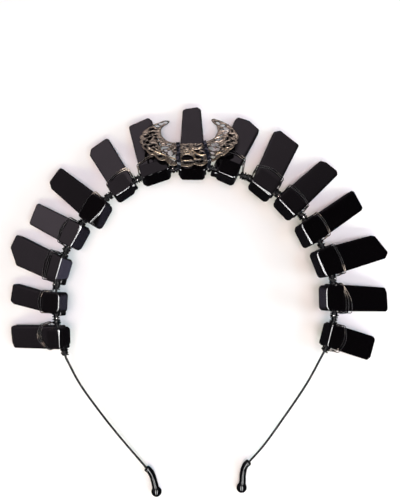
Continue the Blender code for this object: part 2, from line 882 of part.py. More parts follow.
# Tie: wound round the body of the crescent and the band wire beside the middle bead
def make_tie(name, side, band, distance, slant, parent):
    frame = moon_matrix()
    off = CLEARANCE + BINDING_WIRE / 2
    front = MOON_THICKNESS / 2 + MOON_RELIEF + off
    back = -MOON_THICKNESS / 2 - off
    start = side * (bead_corner(STATIONS[MIDDLE]) + off)
    points = []
    for turn in range(TIE_TURNS):
        band_place = start + side * turn * TIE_PITCH
        middle = band_place - MOON_SHIFT
        outer = rim_height(middle, MOON_FOOT_ROUNDNESS, MOON_HALF_WIDTH, MOON_FOOT)
        inner = MOON_HOLLOW_RISE + rim_height(
            middle, MOON_HOLLOW_ROUNDNESS, MOON_HOLLOW_HALF_WIDTH, MOON_HOLLOW_DEPTH)
        outer -= SCALLOP_DEPTH + off
        inner += off
        low_place = moon_across(band_place + side * slant / 2, outer)
        high_place = moon_across(band_place - side * slant / 2, inner)
        below = band.at(distance + band_place)
        radius = BAND_WIRE / 2 + off + CLEARANCE / 2
        out = frame.to_3x3() @ Vector((0.0, 1.0, 0.0))
        face = frame.to_3x3() @ Vector((0.0, 0.0, 1.0))
        step = side * TIE_PITCH / 3
        points.extend((
            below - out * radius,
            frame @ Vector((low_place, outer, back)),
            frame @ Vector((low_place, outer, front - off)),
            frame @ Vector((low_place, outer + off, front)),
            frame @ Vector((high_place, inner - off, front)),
            frame @ Vector((high_place, inner, front - off)),
            frame @ Vector((high_place, inner, back)),
            band.at(distance + band_place + step) + out * radius,
            band.at(distance + band_place + 2 * step) - face * radius,
        ))
    points.append(band.at(distance + start + side * TIE_TURNS * TIE_PITCH) - out * radius)
    radii = [BINDING_WIRE / 2] * len(points)
    add_object(name, tube_mesh(points, radii, BINDING_SIDES), WIRE, parent, smooth=True)


# Shift everything so that its box stands centred on the origin, on z = 0
def centre_on_surface(root):
    bpy.context.view_layer.update()
    graph = bpy.context.evaluated_depsgraph_get()
    low = Vector((1e9, 1e9, 1e9))
    high = -low
    for obj in bpy.data.objects:
        if obj.type != "MESH" or obj.hide_render:
            continue
        shown = obj.evaluated_get(graph)
        for vertex in shown.data.vertices:
            place = obj.matrix_world @ vertex.co
            low = Vector(map(min, low, place))
            high = Vector(map(max, high, place))
    root.location = (-(low.x + high.x) / 2, -(low.y + high.y) / 2, -low.z)
    bpy.context.view_layer.update()


def build():
    clear_scene()
    root = bpy.data.objects.new("diadem", None)
    bpy.context.collection.objects.link(root)
    band = band_path()
    distances = station_distances(band)
    make_band(band, root)
    make_tip("tip_left", LEFT_LEG, LEFT_TIP, root)
    make_tip("tip_right", RIGHT_LEG, RIGHT_TIP, root)
    for index, station in enumerate(STATIONS):
        make_slab(index + 1, station, root)
        make_bead(index + 1, station, root)
        make_lashing(index, band, distances, root)
    make_moon(root)
    make_tie("tie_left", -1.0, band, distances[MIDDLE], 0.0, root)
    make_tie("tie_right", 1.0, band, distances[MIDDLE], TIE_SLANT, root)
    centre_on_surface(root)


build()
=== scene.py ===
import math
import random

import bmesh
import bpy
from mathutils import Matrix, Vector, geometry, kdtree, noise


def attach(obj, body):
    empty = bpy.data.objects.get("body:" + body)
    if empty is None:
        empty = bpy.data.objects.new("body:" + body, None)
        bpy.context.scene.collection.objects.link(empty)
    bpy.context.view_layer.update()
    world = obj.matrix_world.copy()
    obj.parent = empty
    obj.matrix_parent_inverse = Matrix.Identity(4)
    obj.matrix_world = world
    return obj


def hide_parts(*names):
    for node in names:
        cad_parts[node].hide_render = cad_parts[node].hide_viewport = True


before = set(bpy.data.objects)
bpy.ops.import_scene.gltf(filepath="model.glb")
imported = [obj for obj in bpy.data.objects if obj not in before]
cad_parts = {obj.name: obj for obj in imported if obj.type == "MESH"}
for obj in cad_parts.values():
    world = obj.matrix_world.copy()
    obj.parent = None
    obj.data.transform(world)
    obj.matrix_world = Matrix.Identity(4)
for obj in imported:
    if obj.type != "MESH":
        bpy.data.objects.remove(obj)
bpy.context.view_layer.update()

mm = 0.001

# Where the middle of the band's oval stands in the frame
ringPlace = (-2.190, 1.092, -0.050)
ringShift = Matrix.Translation(Vector(ringPlace) * mm)
view = {"x": 2.65, "y": 28.355, "distance": 450.0, "lens": 57.72}
# Two long lamps, in metres, that only polished faces show
stripLight = {
    "across": 0.32, "away": -0.32, "height": 0.92, "width": 0.17, "length": 2.06, "power": 75.7}

band = {
    "halfWidth": 73.6, "reach": 71.4, "height": 26.0, "wire": 1.2, "sides": 14, "legDrop": 107.5,
    "pull": 2.4, "bendSteps": 6}
beadSize = {"length": 13.0, "width": 9.3, "thickness": 8.2, "gap": 0.3, "bore": 0.9}
slabSize = {
    "width": 12.5, "reach": 40.0, "thickness": 5.0, "root": 0.5, "spare": 0.3, "endSpare": 0.12,
    "bevel": 0.75, "bevelSteps": 4, "flat": 0.35, "corner": 1.5, "rootCorner": 0.9, "cornerSteps": 6,
    "cornerRoom": 0.49, "leastRadius": 0.08}

# One row per station from the left leg round to the right leg. angle is clockwise from
# the middle. root and end are the slab's edges, across in slab widths and out in slab
# reaches, and start is where its inner corners are, in millimetres out from the band.
# long, turn and out place the bead. sheen and beadSheen are how strongly the tops mirror, set
# stone by stone, which paints each top's reflection lighter or darker. slope is how steep the
# bead's inner face is, edge how far its foot stands in at each end, ends how much longer the
# bead is there, corner how much its inner corners lose and cool how much painted blue-grey
# reflection its inner face gets. strips are its ground edges: width, turn off square, place
# along the bead and extra tilt. A bead with hollow has an edge that is dulled, a painted shade
# on its highlight, but for that much at its rim.
stations = [
    {"angle": -104.9, "root": (-0.55, 0.42), "end": ((0.025, 0.934), (0.31, 0.942), (0.965, 0.89)),
     "long": 0.88, "turn": 12.0, "out": 0.12, "sheen": 1.0, "beadSheen": 0.6, "slope": 82.0,
     "edge": (-0.75, 0.3), "ends": (-0.3, -0.5), "start": (2.9, 1.9), "cool": 0.0,
     "strips": ((0.36, 0.0, 0.0, 0.0),)},
    {"angle": -89.5, "root": (-0.62, 0.14), "end": ((-0.21, 0.847), (-0.1, 0.909), (0.66, 0.865)),
     "long": 0.97, "turn": 0.0, "out": 0.14, "sheen": 0.48, "beadSheen": 0.15, "slope": 96.0,
     "edge": (1.05, 1.65), "ends": (-0.5, -1.2), "cool": 0.6, "strips": ((0.9, 2.0, 0.0, 0.0),)},
    {"angle": -75.6, "root": (-0.65, 0.42), "end": ((-0.41, 0.816), (0.262, 0.995), (0.868, 0.949)),
     "long": 1.0, "turn": -1.0, "out": 0.03, "sheen": 0.68, "beadSheen": 0.6, "slope": 77.5,
     "edge": (-1.25, -0.55), "ends": (-1.1, -0.1), "cool": 1.0, "strips": ((0.5, 0.0, 0.0, 0.0),)},
    {"angle": -60.1, "root": (-0.5, 0.545), "end": ((-0.66, 0.866), (0.288, 0.93)), "long": 0.92,
     "turn": -5.0, "out": 0.08, "sheen": 1.26, "beadSheen": 0.7, "slope": 84.0, "edge": (1.0, 1.6),
     "ends": (0.3, 0.7), "cool": 0.3,
     "strips": ((0.5, 0.0, 0.0, 0.0), (0.7, 30.0, 3.6, 0.0), (0.9, 58.0, 4.9, 0.0))},
    {"angle": -46.4, "root": (-0.54, 0.6), "end": ((-0.73, 0.836), (-0.617, 0.939), (0.178, 0.984)),
     "long": 1.0, "turn": -13.0, "out": -0.04, "sheen": 0.23, "beadSheen": 0.05, "slope": 88.0,
     "edge": (3.0, 1.9), "ends": (0.8, 0.2), "cool": 0.3, "strips": ((2.6, -20.0, -3.0, 4.0),),
     "hollow": (0.26, 0.95)},
    {"angle": -31.5, "root": (-0.42, 0.54), "end": ((-0.555, 0.833), (-0.395, 0.919), (0.48, 0.94)),
     "long": 1.0, "turn": -3.0, "out": 0.05, "sheen": 0.97, "beadSheen": 0.45, "slope": 93.5,
     "edge": (0.65, 0.35), "ends": (-0.4, -1.4), "cool": 0.03, "strips": ((0.4, 0.0, 0.0, 0.0),)},
    {"angle": -16.3, "root": (-0.64, 0.51),
     "end": ((-0.625, 0.941), (0.305, 0.992), (0.398, 0.925)), "long": 1.13, "turn": 0.0,
     "out": 0.04, "sheen": 0.93, "beadSheen": 0.5, "slope": 80.0, "edge": (-0.3, -1.2),
     "ends": (0.3, 0.2), "cool": 0.0, "strips": ()},
    {"angle": -1.2, "root": (-0.58, 0.58),
     "end": ((-0.357, 1.003), (-0.235, 1.025), (0.285, 1.05), (0.41, 1.006)), "long": 1.05,
     "turn": 1.2, "out": 0.02, "sheen": 0.86, "beadSheen": 0.85, "slope": 80.0,
     "edge": (0.38, 0.43), "ends": (-0.2, 0.1), "cool": 0.0, "strips": ()},
    {"angle": 13.8, "root": (-0.7, 0.28),
     "end": ((-0.195, 0.931), (-0.12, 0.989), (0.405, 0.973), (0.918, 0.862)), "long": 1.0,
     "turn": 11.0, "out": 0.03, "sheen": 1.0, "beadSheen": 0.05, "slope": 88.0, "edge": (0.4, 0.5),
     "ends": (-1.1, -1.3), "cool": 0.03, "strips": ((1.0, 16.0, 3.4, 3.0),),
     "hollow": (0.26, 0.95)},
    {"angle": 29.4, "root": (-0.46, 0.58), "end": ((-0.655, 0.93), (-0.45, 1.0), (0.575, 0.936)),
     "long": 0.85, "turn": 9.0, "out": 0.08, "sheen": 1.0, "beadSheen": 0.65, "slope": 85.5,
     "edge": (1.2, 1.75), "ends": (0.9, 1.2), "cool": 0.0, "strips": ((0.35, 0.0, 0.0, 0.0),)},
    {"angle": 42.3, "root": (-0.49, 0.6),
     "end": ((-0.095, 0.943), (0.115, 0.99), (0.755, 1.003), (0.857, 0.956)), "long": 0.88,
     "turn": 7.0, "out": 0.05, "sheen": 1.2, "beadSheen": 0.65, "slope": 85.5, "edge": (1.7, 1.6),
     "ends": (-0.2, 1.5), "cool": 0.03, "strips": ((0.35, 0.0, 0.0, 0.0),)},
    {"angle": 57.0, "root": (-0.385, 0.59),
     "end": ((-0.33, 0.989), (-0.247, 1.009), (0.557, 0.981), (0.604, 0.938)), "long": 0.88,
     "turn": 0.0, "out": -0.08, "sheen": 1, "beadSheen": 1, "slope": 87.0, "edge": (1.45, 3.0),
     "ends": (0.1, 1.0), "cool": 0.08, "strips": ((0.5, 4.0, 3.0, 2.0),)},
    {"angle": 71.9, "root": (-0.54, 0.65),
     "end": ((-0.335, 0.884), (-0.28, 0.941), (0.62, 1.068), (0.8, 0.987)), "long": 0.96,
     "turn": -3.5, "out": -0.08, "sheen": 1, "beadSheen": 1, "slope": 95.5, "edge": (1.25, 1.25),
     "ends": (1.0, 1.2), "cool": 0.08, "strips": ((1.8, 9.0, 3.5, 4.0),), "hollow": (0.26, 0.95)},
    {"angle": 88.0, "root": (-0.58, 0.545),
     "end": ((-0.26, 0.955), (-0.045, 0.9855), (0.706, 0.991), (0.767, 0.956)), "long": 1.0,
     "turn": 2.0, "out": -0.1, "sheen": 1, "beadSheen": 1, "slope": 96.5, "edge": (1.45, 1.25),
     "ends": (0.5, 0.0), "cool": 0.75, "strips": ((0.7, 0.0, 0.0, 0.0),)},
    {"angle": 103.9, "root": (-0.47, 0.515),
     "end": ((-0.3, 0.859), (-0.216, 0.903), (0.625, 0.899), (0.743, 0.849)), "long": 0.83,
     "turn": 0.0, "out": 0.1, "sheen": 1, "beadSheen": 1, "slope": 95.0, "edge": (-0.95, -1.0),
     "ends": (0.3, 0.4), "corner": 0.25, "start": (2.4, 2.4), "cool": 0.03,
     "strips": ((0.6, 0.0, 0.0, 0.0),)},
]
middleStation = len(stations) // 2


# Shared helpers

def clamp(value):
    return min(1.0, max(0.0, value))


def splineRun(points, steps):  # smooth, from the second point up to the last but one
    run = []
    for before, start, end, after in zip(points, points[1:], points[2:], points[3:]):
        for step in range(steps):
            t = step / steps
            run.append(0.5 * (
                start * 2 + (end - before) * t
                + (before * 2 - start * 5 + end * 4 - after) * t * t
                + (start * 3 - before - end * 3 + after) * t * t * t
            ))
    return run


def smoothRun(points, steps):
    before, after = points[0] * 2 - points[1], points[-1] * 2 - points[-2]
    return splineRun([before, *points, after], steps) + [points[-1].copy()]


def closedRun(points, steps):
    return splineRun([Vector(point) for point in (points[-1], *points, *points[:2])], steps)


def bandFrame(angle):
    turn = math.radians(angle)
    place = Vector((band["halfWidth"] * math.sin(turn), band["reach"] * math.cos(turn), band["height"]))
    along = Vector((band["halfWidth"] * math.cos(turn), -band["reach"] * math.sin(turn), 0.0)).normalized()
    outward = Vector((-along.y, along.x, 0.0))
    return place, along, outward


def leaningFrame(along, outward, lean):
    up = Vector((0.0, 0.0, 1.0))
    out = outward * math.cos(lean) - up * math.sin(lean)
    face = outward * math.sin(lean) + up * math.cos(lean)
    return out, face, Matrix((along, out, face)).transposed().to_4x4()


def stationLean(station):
    reach = max(corner[1] for corner in station["end"]) * slabSize["reach"]
    depth = beadSize["thickness"] / 2 + beadSize["gap"] + slabSize["thickness"]
    return math.asin(band["height"] / math.hypot(reach, depth)) - math.atan2(depth, reach)


cameraPlace = ringShift @ (Vector((view["x"], view["y"], view["distance"])) * mm)


def stationMatrix(station):  # x along the band, y out along the slab, z out of its face
    place, along, outward = bandFrame(station["angle"])
    return Matrix.Translation(place) @ leaningFrame(along, outward, stationLean(station))[2]


def faceOf(place):
    return place.to_3x3() @ Vector((0, 0, 1))


def toMetres(matrix):  # millimetres round the ring to metres in the frame
    return ringShift @ Matrix.Scale(mm, 4) @ matrix


def showMesh(name, mesh):
    piece = bpy.data.objects.new(name, mesh)
    bpy.context.scene.collection.objects.link(piece)
    return piece


def meshFrom(name, shape, place=Matrix.Identity(4)):
    shape.transform(toMetres(place))
    mesh = bpy.data.meshes.new(name)
    shape.to_mesh(mesh)
    shape.free()
    mesh.shade_smooth()
    return mesh


def bakedMesh(piece, name):  # the evaluated result as a plain mesh
    graph = bpy.context.evaluated_depsgraph_get()
    graph.update()
    mesh = bpy.data.meshes.new_from_object(piece.evaluated_get(graph), depsgraph=graph)
    mesh.name = name
    piece.modifiers.clear()
    piece.data = mesh
    return mesh


def handOver(piece, material, slot, *nodes):
    if material is not None:
        piece.data.materials.clear()
        piece.data.materials.append(material)
    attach(piece, "root")
    if nodes:
        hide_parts(*nodes)
    return piece


def pointLayer(mesh, name):
    return mesh.attributes.new(name, "FLOAT", "POINT")


def loftRings(shape, rings):
    for near, far in zip(rings, rings[1:]):
        for step in range(len(near)):
            after = (step + 1) % len(near)
            shape.faces.new((near[step], near[after], far[after], far[step]))
    shape.faces.new(tuple(reversed(rings[0])))
    shape.faces.new(tuple(rings[-1]))
    return shape


# Where a mask begins and over what it fades: cosines for faces, millimetres for places
sheenMask = {
    "face": 0.90, "faceFade": 0.09, "ridge": 0.985, "ridgeLeft": 0.12, "ridgeEnd": 1.8, "ridgeFade": 0.8,
    "stripDepth": 0.25, "stripLoss": 0.96, "stripFade": 0.12}


def setSheen(mesh, value, facing):  # how well the face that looks up mirrors, beside full on the edges
    for vertex, item in zip(mesh.vertices, pointLayer(mesh, "sheen").data):
        share = clamp((vertex.normal.dot(facing) - sheenMask["face"]) / sheenMask["faceFade"])
        item.value = 1.0 + (value - 1.0) * share


def fadeRidge(mesh, place, half):  # painted shade on the highlight: this bead's ridge mirrors only near its corners
    back, face, left = place.inverted(), faceOf(place) / mm, sheenMask["ridgeLeft"]
    for vertex, item in zip(mesh.vertices, mesh.attributes["sheen"].data):
        if vertex.normal.dot(face) < sheenMask["ridge"]:
            spot = back @ vertex.co
            share = clamp((abs(spot.x) - half + sheenMask["ridgeEnd"]) / sheenMask["ridgeFade"])
            item.value *= left + (1.0 - left) * share


def hollowStrip(mesh, place, planes, rim):  # painted shade on the highlight: dull where it is far from both of its neighbours, so only its rims mirror
    back = place.inverted()
    (topNormal, top), (innerNormal, inner), (normal, distance) = planes[3], planes[5], planes[-5]
    for vertex, item in zip(mesh.vertices, mesh.attributes["sheen"].data):
        spot = back @ vertex.co
        if distance - normal.dot(spot) < sheenMask["stripDepth"]:
            away = min(top - topNormal.dot(spot) - rim[0], inner - innerNormal.dot(spot) - rim[1])
            item.value *= 1.0 - sheenMask["stripLoss"] * clamp(away / sheenMask["stripFade"])


# Shader building

# The sockets of a surface that the materials set
sockets = {
    "colour": "Base Color", "metal": "Metallic", "rough": "Roughness", "sheen": "Specular IOR Level",
    "normal": "Normal"}


class Net:  # the nodes of one tree and the links between them
    def __init__(self, tree):
        self.nodes, self.link = tree.nodes, tree.links.new

    def new(self, kind, **settings):
        node = self.nodes.new(kind)
        for label, value in settings.items():
            setattr(node, label, value)
        return node

    def feed(self, socket, value):  # from another node, or a number or colour on the socket itself
        if hasattr(value, "links"):
            self.link(value, socket)
        else:
            socket.default_value = (*value, 1.0) if isinstance(value, tuple) else value

    def math(self, operation, *values, clamp=False):
        node = self.new("ShaderNodeMath", operation=operation, use_clamp=clamp)
        for socket, value in zip(node.inputs, values):
            self.feed(socket, value)
        return node.outputs[0]

    def noise(self, vector, scale, detail=4.0, roughness=0.55):
        node = self.new("ShaderNodeTexNoise")
        given = {"Vector": vector, "Scale": scale, "Detail": detail, "Roughness": roughness}
        for label, value in given.items():
            self.feed(node.inputs[label], value)
        return node.outputs["Fac"]

    def ramp(self, value, stops):
        node = self.new("ShaderNodeValToRGB")
        ramp = node.color_ramp.elements
        while len(ramp) < len(stops):
            ramp.new(0.5)
        for element, (place, colour) in zip(ramp, stops):
            element.position = place
            element.color = (*colour, 1.0)
        self.link(value, node.inputs["Fac"])
        return node.outputs["Color"]

    def mix(self, factor, first, second, blend="MIX"):
        node = self.new("ShaderNodeMix", data_type="RGBA", blend_type=blend)
        for index, value in ((0, factor), (6, first), (7, second)):
            self.feed(node.inputs[index], value)
        return node.outputs[2]

    def bump(self, height, strength, distance):
        node = self.new("ShaderNodeBump")
        for label, value in (("Strength", strength), ("Distance", distance), ("Height", height)):
            self.feed(node.inputs[label], value)
        return node.outputs["Normal"]

    def place(self, kind="Object"):
        return self.new("ShaderNodeTexCoord").outputs[kind]

    def split(self, kind="Object"):  # X, Y and Z of a place or a direction
        node = self.new("ShaderNodeSeparateXYZ")
        self.link(self.place(kind), node.inputs[0])
        return node.outputs

    def group(self, group, **values):
        node = self.new("ShaderNodeGroup", node_tree=group)
        for label, value in values.items():
            node.inputs[label].default_value = value
        return node.outputs

    def attribute(self, name):
        return self.new("ShaderNodeAttribute", attribute_name=name).outputs["Fac"]


def newMaterial(name):
    material = bpy.data.materials.new(name)
    material.use_nodes = True
    net = Net(material.node_tree)
    shader = net.nodes["Principled BSDF"]

    def paint(**values):
        for label, value in values.items():
            net.feed(shader.inputs[sockets[label]], value)

    return material, net, paint


def newGroup(name, inputs, outputs):
    group = bpy.data.node_groups.new(name, "ShaderNodeTree")
    for label, value in inputs:
        socket = group.interface.new_socket(label, in_out="INPUT", socket_type="NodeSocketFloat")
        socket.default_value = value
    for label in outputs:
        group.interface.new_socket(label, in_out="OUTPUT", socket_type="NodeSocketFloat")
    net = Net(group)
    return group, net, net.new("NodeGroupInput").outputs, net.new("NodeGroupOutput").inputs


# Fine scratches and pits that hand polishing leaves: a height and a dulling mask
polish = {
    "turn": (0.4, 0.3, 0.7), "stretch": (1.0, 14.0, 9.0), "scratchScale": 260.0, "scratchDetail": 6.0,
    "scratchRoughness": 0.7, "pitScale": 900.0, "pitSize": 0.09,
    "patchScale": 160.0, "patchFrom": 0.55, "patchGain": 6.0}


def polishMarksGroup():
    group, net, given, put = newGroup(
        "polishMarks",
        (("Scale", 1.0), ("Scratches", 0.5), ("Pits", 0.5)),
        ("Height", "Dull"),
    )
    place = net.place()
    turned = net.new("ShaderNodeMapping")
    turned.inputs["Rotation"].default_value = polish["turn"]
    turned.inputs["Scale"].default_value = polish["stretch"]
    net.link(place, turned.inputs["Vector"])
    fineScale = net.math("MULTIPLY", given["Scale"], polish["scratchScale"])
    fine = net.noise(turned.outputs["Vector"], fineScale, polish["scratchDetail"], polish["scratchRoughness"])
    scratch = net.math("SUBTRACT", fine, 0.5)
    scratch = net.math("MULTIPLY", scratch, given["Scratches"])
    pitScale = net.math("MULTIPLY", given["Scale"], polish["pitScale"])
    cells = net.new("ShaderNodeTexVoronoi")
    net.link(place, cells.inputs["Vector"])
    net.link(pitScale, cells.inputs["Scale"])
    pit = net.math("LESS_THAN", cells.outputs["Distance"], polish["pitSize"])
    patchy = net.noise(place, polish["patchScale"], 3.0)
    patchy = net.math("SUBTRACT", patchy, polish["patchFrom"])
    patchy = net.math("MULTIPLY", patchy, polish["patchGain"], clamp=True)
    pit = net.math("MULTIPLY", pit, patchy)
    pit = net.math("MULTIPLY", pit, given["Pits"])
    height = net.math("SUBTRACT", scratch, pit)
    net.link(height, put["Height"])
    dull = net.math("ABSOLUTE", scratch)
    dull = net.math("ADD", dull, pit, clamp=True)
    net.link(dull, put["Dull"])
    return group


# Slow clouds that keep a big face from looking flat
cloudNoise = {"scale": 60.0, "detail": 5.0, "roughness": 0.6}


def cloudsGroup():
    group, net, given, put = newGroup(
        "slowClouds",
        (("Scale", 1.0), ("Contrast", 1.0)),
        ("Cloud",),
    )
    place = net.place()
    scale = net.math("MULTIPLY", given["Scale"], cloudNoise["scale"])
    cloud = net.noise(place, scale, cloudNoise["detail"], cloudNoise["roughness"])
    cloud = net.math("SUBTRACT", cloud, 0.5)
    cloud = net.math("MULTIPLY", cloud, given["Contrast"])
    cloud = net.math("ADD", cloud, 0.5, clamp=True)
    net.link(cloud, put["Cloud"])
    return group


polishMarks = polishMarksGroup()
slowClouds = cloudsGroup()


# Painted shade: the stones' mirroring is dimmed in an oval under the crescent, where it hides the pale wall
# from them; where it stands, in metres
cover = {"x": -0.0050, "y": 0.0887, "wide": 0.0265, "tall": 0.0165, "hollowY": 0.0962, "hollowWide": 0.0130,
         "hollowTall": 0.0118, "edge": 5.0, "dark": 0.85}


def ovalNode(net, spot, y, wide, tall):  # full inside the oval, none outside
    across = net.math("MULTIPLY_ADD", spot["X"], 1 / wide, -cover["x"] / wide)
    along = net.math("MULTIPLY_ADD", spot["Y"], 1 / tall, -y / tall)
    across = net.math("MULTIPLY", across, across)
    reach = net.math("MULTIPLY_ADD", along, along, across)
    return net.math("MULTIPLY_ADD", reach, -cover["edge"], cover["edge"] + 0.5, clamp=True)


def coverMask(net):
    spot = net.split()
    outer = ovalNode(net, spot, cover["y"], cover["wide"], cover["tall"])
    hollow = ovalNode(net, spot, cover["hollowY"], cover["hollowWide"], cover["hollowTall"])
    hidden = net.math("SUBTRACT", outer, hollow, clamp=True)
    return net.math("MULTIPLY_ADD", hidden, -cover["dark"], 1.0)


# cool is the blue-grey colour of a painted reflection on the beads' inner faces
stoneLook = {
    "black": (0.0014, 0.0011, 0.0014), "cool": (0.033, 0.031, 0.045), "roughness": 0.055, "dullness": 0.10,
    "scratches": 0.5, "pits": 0.6, "clouds": (1.6, 0.9), "cloudy": (0.24, 0.88), "specular": 0.5,
    "wave": 0.10, "waveScale": 2.4, "grain": 0.012, "bump": (0.35, 0.0006)}


def stoneMaterial(name, look):
    material, net, paint = newMaterial(name)
    marks = net.group(polishMarks, Scale=1.0, Scratches=look["scratches"], Pits=look["pits"])
    clouds = net.group(slowClouds, Scale=look["clouds"][0], Contrast=look["clouds"][1])
    cloudy = net.math("MULTIPLY_ADD", clouds["Cloud"], *look["cloudy"])
    sheen = net.math("MULTIPLY", net.attribute("sheen"), cloudy)
    # painted shade: less mirroring under the crescent
    sheen = net.math("MULTIPLY", sheen, coverMask(net))
    sheen = net.math("MULTIPLY", sheen, look["specular"])
    paint(sheen=sheen)
    # cool paints a blue-grey reflection into the colour of the bead's inner faces
    cool = net.math("MULTIPLY", net.attribute("cool"), cloudy, clamp=True)
    paint(colour=net.mix(cool, look["black"], look["cool"]))
    rough = net.math("MULTIPLY_ADD", marks["Dull"], look["dullness"], look["roughness"])
    paint(rough=rough)
    slow = net.group(slowClouds, Scale=look["waveScale"], Contrast=1.0)
    height = net.math("MULTIPLY", slow["Cloud"], look["wave"])
    height = net.math("MULTIPLY_ADD", marks["Height"], look["grain"], height)
    paint(normal=net.bump(height, *look["bump"]))
    return material


# bare and gain set how much of the wire the clouds rub bare
wireLook = {
    "dark": (0.003, 0.003, 0.004), "worn": (0.62, 0.58, 0.56), "roughness": 0.12, "bare": -4.6, "sheen": 0.07,
    "grain": 9.0, "gain": 5.6, "contrast": 3.0, "dullness": 0.3, "metal": 0.85, "bump": (0.2, 0.0002)}


def wireMaterial(name, look):
    material, net, paint = newMaterial(name)
    clouds = net.group(slowClouds, Scale=look["grain"], Contrast=look["contrast"])
    marks = net.group(polishMarks, Scale=2.0, Scratches=0.8, Pits=0.4)
    worn = net.math("MULTIPLY_ADD", clouds["Cloud"], look["gain"], look["bare"])
    worn = net.math("ADD", worn, net.attribute("worn"), clamp=True)
    paint(colour=net.mix(worn, look["dark"], look["worn"]))
    rough = net.math("MULTIPLY_ADD", marks["Dull"], look["dullness"], look["roughness"])
    paint(rough=rough)
    paint(metal=net.math("MULTIPLY", worn, look["metal"]))
    paint(sheen=look["sheen"])
    paint(normal=net.bump(marks["Height"], *look["bump"]))
    return material


rubberLook = {
    "colour": (0.0015, 0.0015, 0.002), "lighter": 2.2, "roughness": 0.09, "uneven": 0.05, "specular": 0.16,
    "grain": 3500.0, "bump": (0.015, 0.0001)}


def rubberMaterial(name, look):
    material, net, paint = newMaterial(name)
    cloud = net.group(slowClouds, Scale=5.0, Contrast=1.4)["Cloud"]
    grain = net.noise(net.place(), look["grain"], 3.0)
    lighter = tuple(value * look["lighter"] for value in look["colour"])
    paint(colour=net.mix(cloud, look["colour"], lighter))
    rough = net.math("MULTIPLY_ADD", cloud, look["uneven"], look["roughness"])
    paint(rough=rough)
    paint(sheen=look["specular"])
    paint(normal=net.bump(grain, *look["bump"]))
    return material


# rise and gain darken the colour towards the foot and lighten it towards the horns; recess,
# the darkest colour, is patina and painted shade, and the gold colour is painted warm light
bronzeLook = {
    "recess": (0.006, 0.004, 0.003), "body": (0.14, 0.107, 0.086), "crest": (0.62, 0.52, 0.42),
    "paintedWarmLight": (0.50, 0.36, 0.20), "mottle": (0.30, -0.15), "levels": ((0.45, 1.0), (0.40, 0.9)),
    "rise": (71.0, -5.54), "gain": (1.2, 0.40), "roughness": 0.30, "dirt": 0.28, "dullness": 0.2,
    "metal": 0.75, "bump": (0.4, 0.0002)}


def bronzeMaterial(name, look):
    material, net, paint = newMaterial(name)
    clouds = net.group(slowClouds, Scale=14.0, Contrast=2.0)
    marks = net.group(polishMarks, Scale=2.5, Scratches=0.7, Pits=0.8)
    shifted = net.math("MULTIPLY_ADD", clouds["Cloud"], *look["mottle"])
    level = net.math("ADD", net.attribute("crest"), shifted, clamp=True)
    plain, paintedWarmLit = (
        net.ramp(level, ((0.0, look["recess"]), (middle, look["body"]), (high, look[top])))
        for (middle, high), top in zip(look["levels"], ("crest", "paintedWarmLight")))
    # the gold ramp, mixed in on the lower part, is painted warm light
    colour = net.mix(net.attribute("paintedWarmLight"), plain, paintedWarmLit)
    rise = net.math("MULTIPLY_ADD", net.split()["Y"], *look["rise"], clamp=True)
    bright = net.math("MULTIPLY_ADD", rise, *look["gain"])
    colour = net.mix(1.0, colour, bright, "MULTIPLY")
    paint(colour=colour)
    dirt = net.math("MULTIPLY_ADD", level, -look["dirt"], look["roughness"] + look["dirt"])
    rough = net.math("MULTIPLY_ADD", marks["Dull"], look["dullness"], dirt)
    paint(rough=rough)
    paint(metal=look["metal"])
    paint(normal=net.bump(marks["Height"], *look["bump"]))
    return material


slabStone = stoneMaterial("polishedBlackStone", stoneLook)
beadStone = stoneMaterial("polishedBeadStone", {**stoneLook, "roughness": 0.05, "wave": 0.07})
darkWire = wireMaterial("blackenedWire", wireLook)
wornWire = wireMaterial("wornWire", {
    **wireLook, "dark": (0.006, 0.005, 0.006), "worn": (0.30, 0.245, 0.20), "roughness": 0.30,
    "bare": -1.28, "sheen": 0.08, "grain": 2.2, "gain": 1.6})
springWire = wireMaterial("springWire", {
    **wireLook, "dark": (0.005, 0.005, 0.006), "worn": (0.05, 0.045, 0.045), "roughness": 0.34,
    "bare": -0.95, "sheen": 0.05, "grain": 5.0, "gain": 1.6})
tieWire = wireMaterial("tieWire", {
    **wireLook, "dark": (0.008, 0.009, 0.014), "worn": (0.28, 0.27, 0.33), "roughness": 0.22,
    "bare": -1.9, "sheen": 0.4, "grain": 7.0, "gain": 3.0})
blackRubber = rubberMaterial("blackRubber", rubberLook)
agedBronze = bronzeMaterial("agedBronze", bronzeLook)
print("materials ready")


# Slabs: a rounded outline lofted through a rounded edge

def insetCorners(corners, inset):
    moved = []
    for index, corner in enumerate(corners):
        before = (corner - corners[index - 1]).normalized()
        after = (corners[(index + 1) % len(corners)] - corner).normalized()
        inwardBefore = Vector((-before.y, before.x))
        inwardAfter = Vector((-after.y, after.x))
        share = inset / (1.0 + inwardBefore.dot(inwardAfter))
        moved.append(corner + (inwardBefore + inwardAfter) * share)
    return moved


def roundedOutline(corners, radii, inset):
    inner, steps = insetCorners(corners, inset), slabSize["cornerSteps"]
    outline = []
    for index, corner in enumerate(inner):
        toBefore = inner[index - 1] - corner
        toAfter = inner[(index + 1) % len(inner)] - corner
        room = min(toBefore.length, toAfter.length) * slabSize["cornerRoom"]
        toBefore.normalize()
        toAfter.normalize()
        half = toBefore.angle(toAfter) / 2
        radius = max(radii[index] - inset, slabSize["leastRadius"])
        reach = min(radius / math.tan(half), room)
        radius = reach * math.tan(half)
        centre = corner + (toBefore + toAfter).normalized() * (radius / math.sin(half))
        start = corner + toBefore * reach - centre
        sweep = math.pi - 2 * half
        for step in range(steps + 1):
            outline.append(centre + Matrix.Rotation(sweep * step / steps, 2) @ start)
    return outline


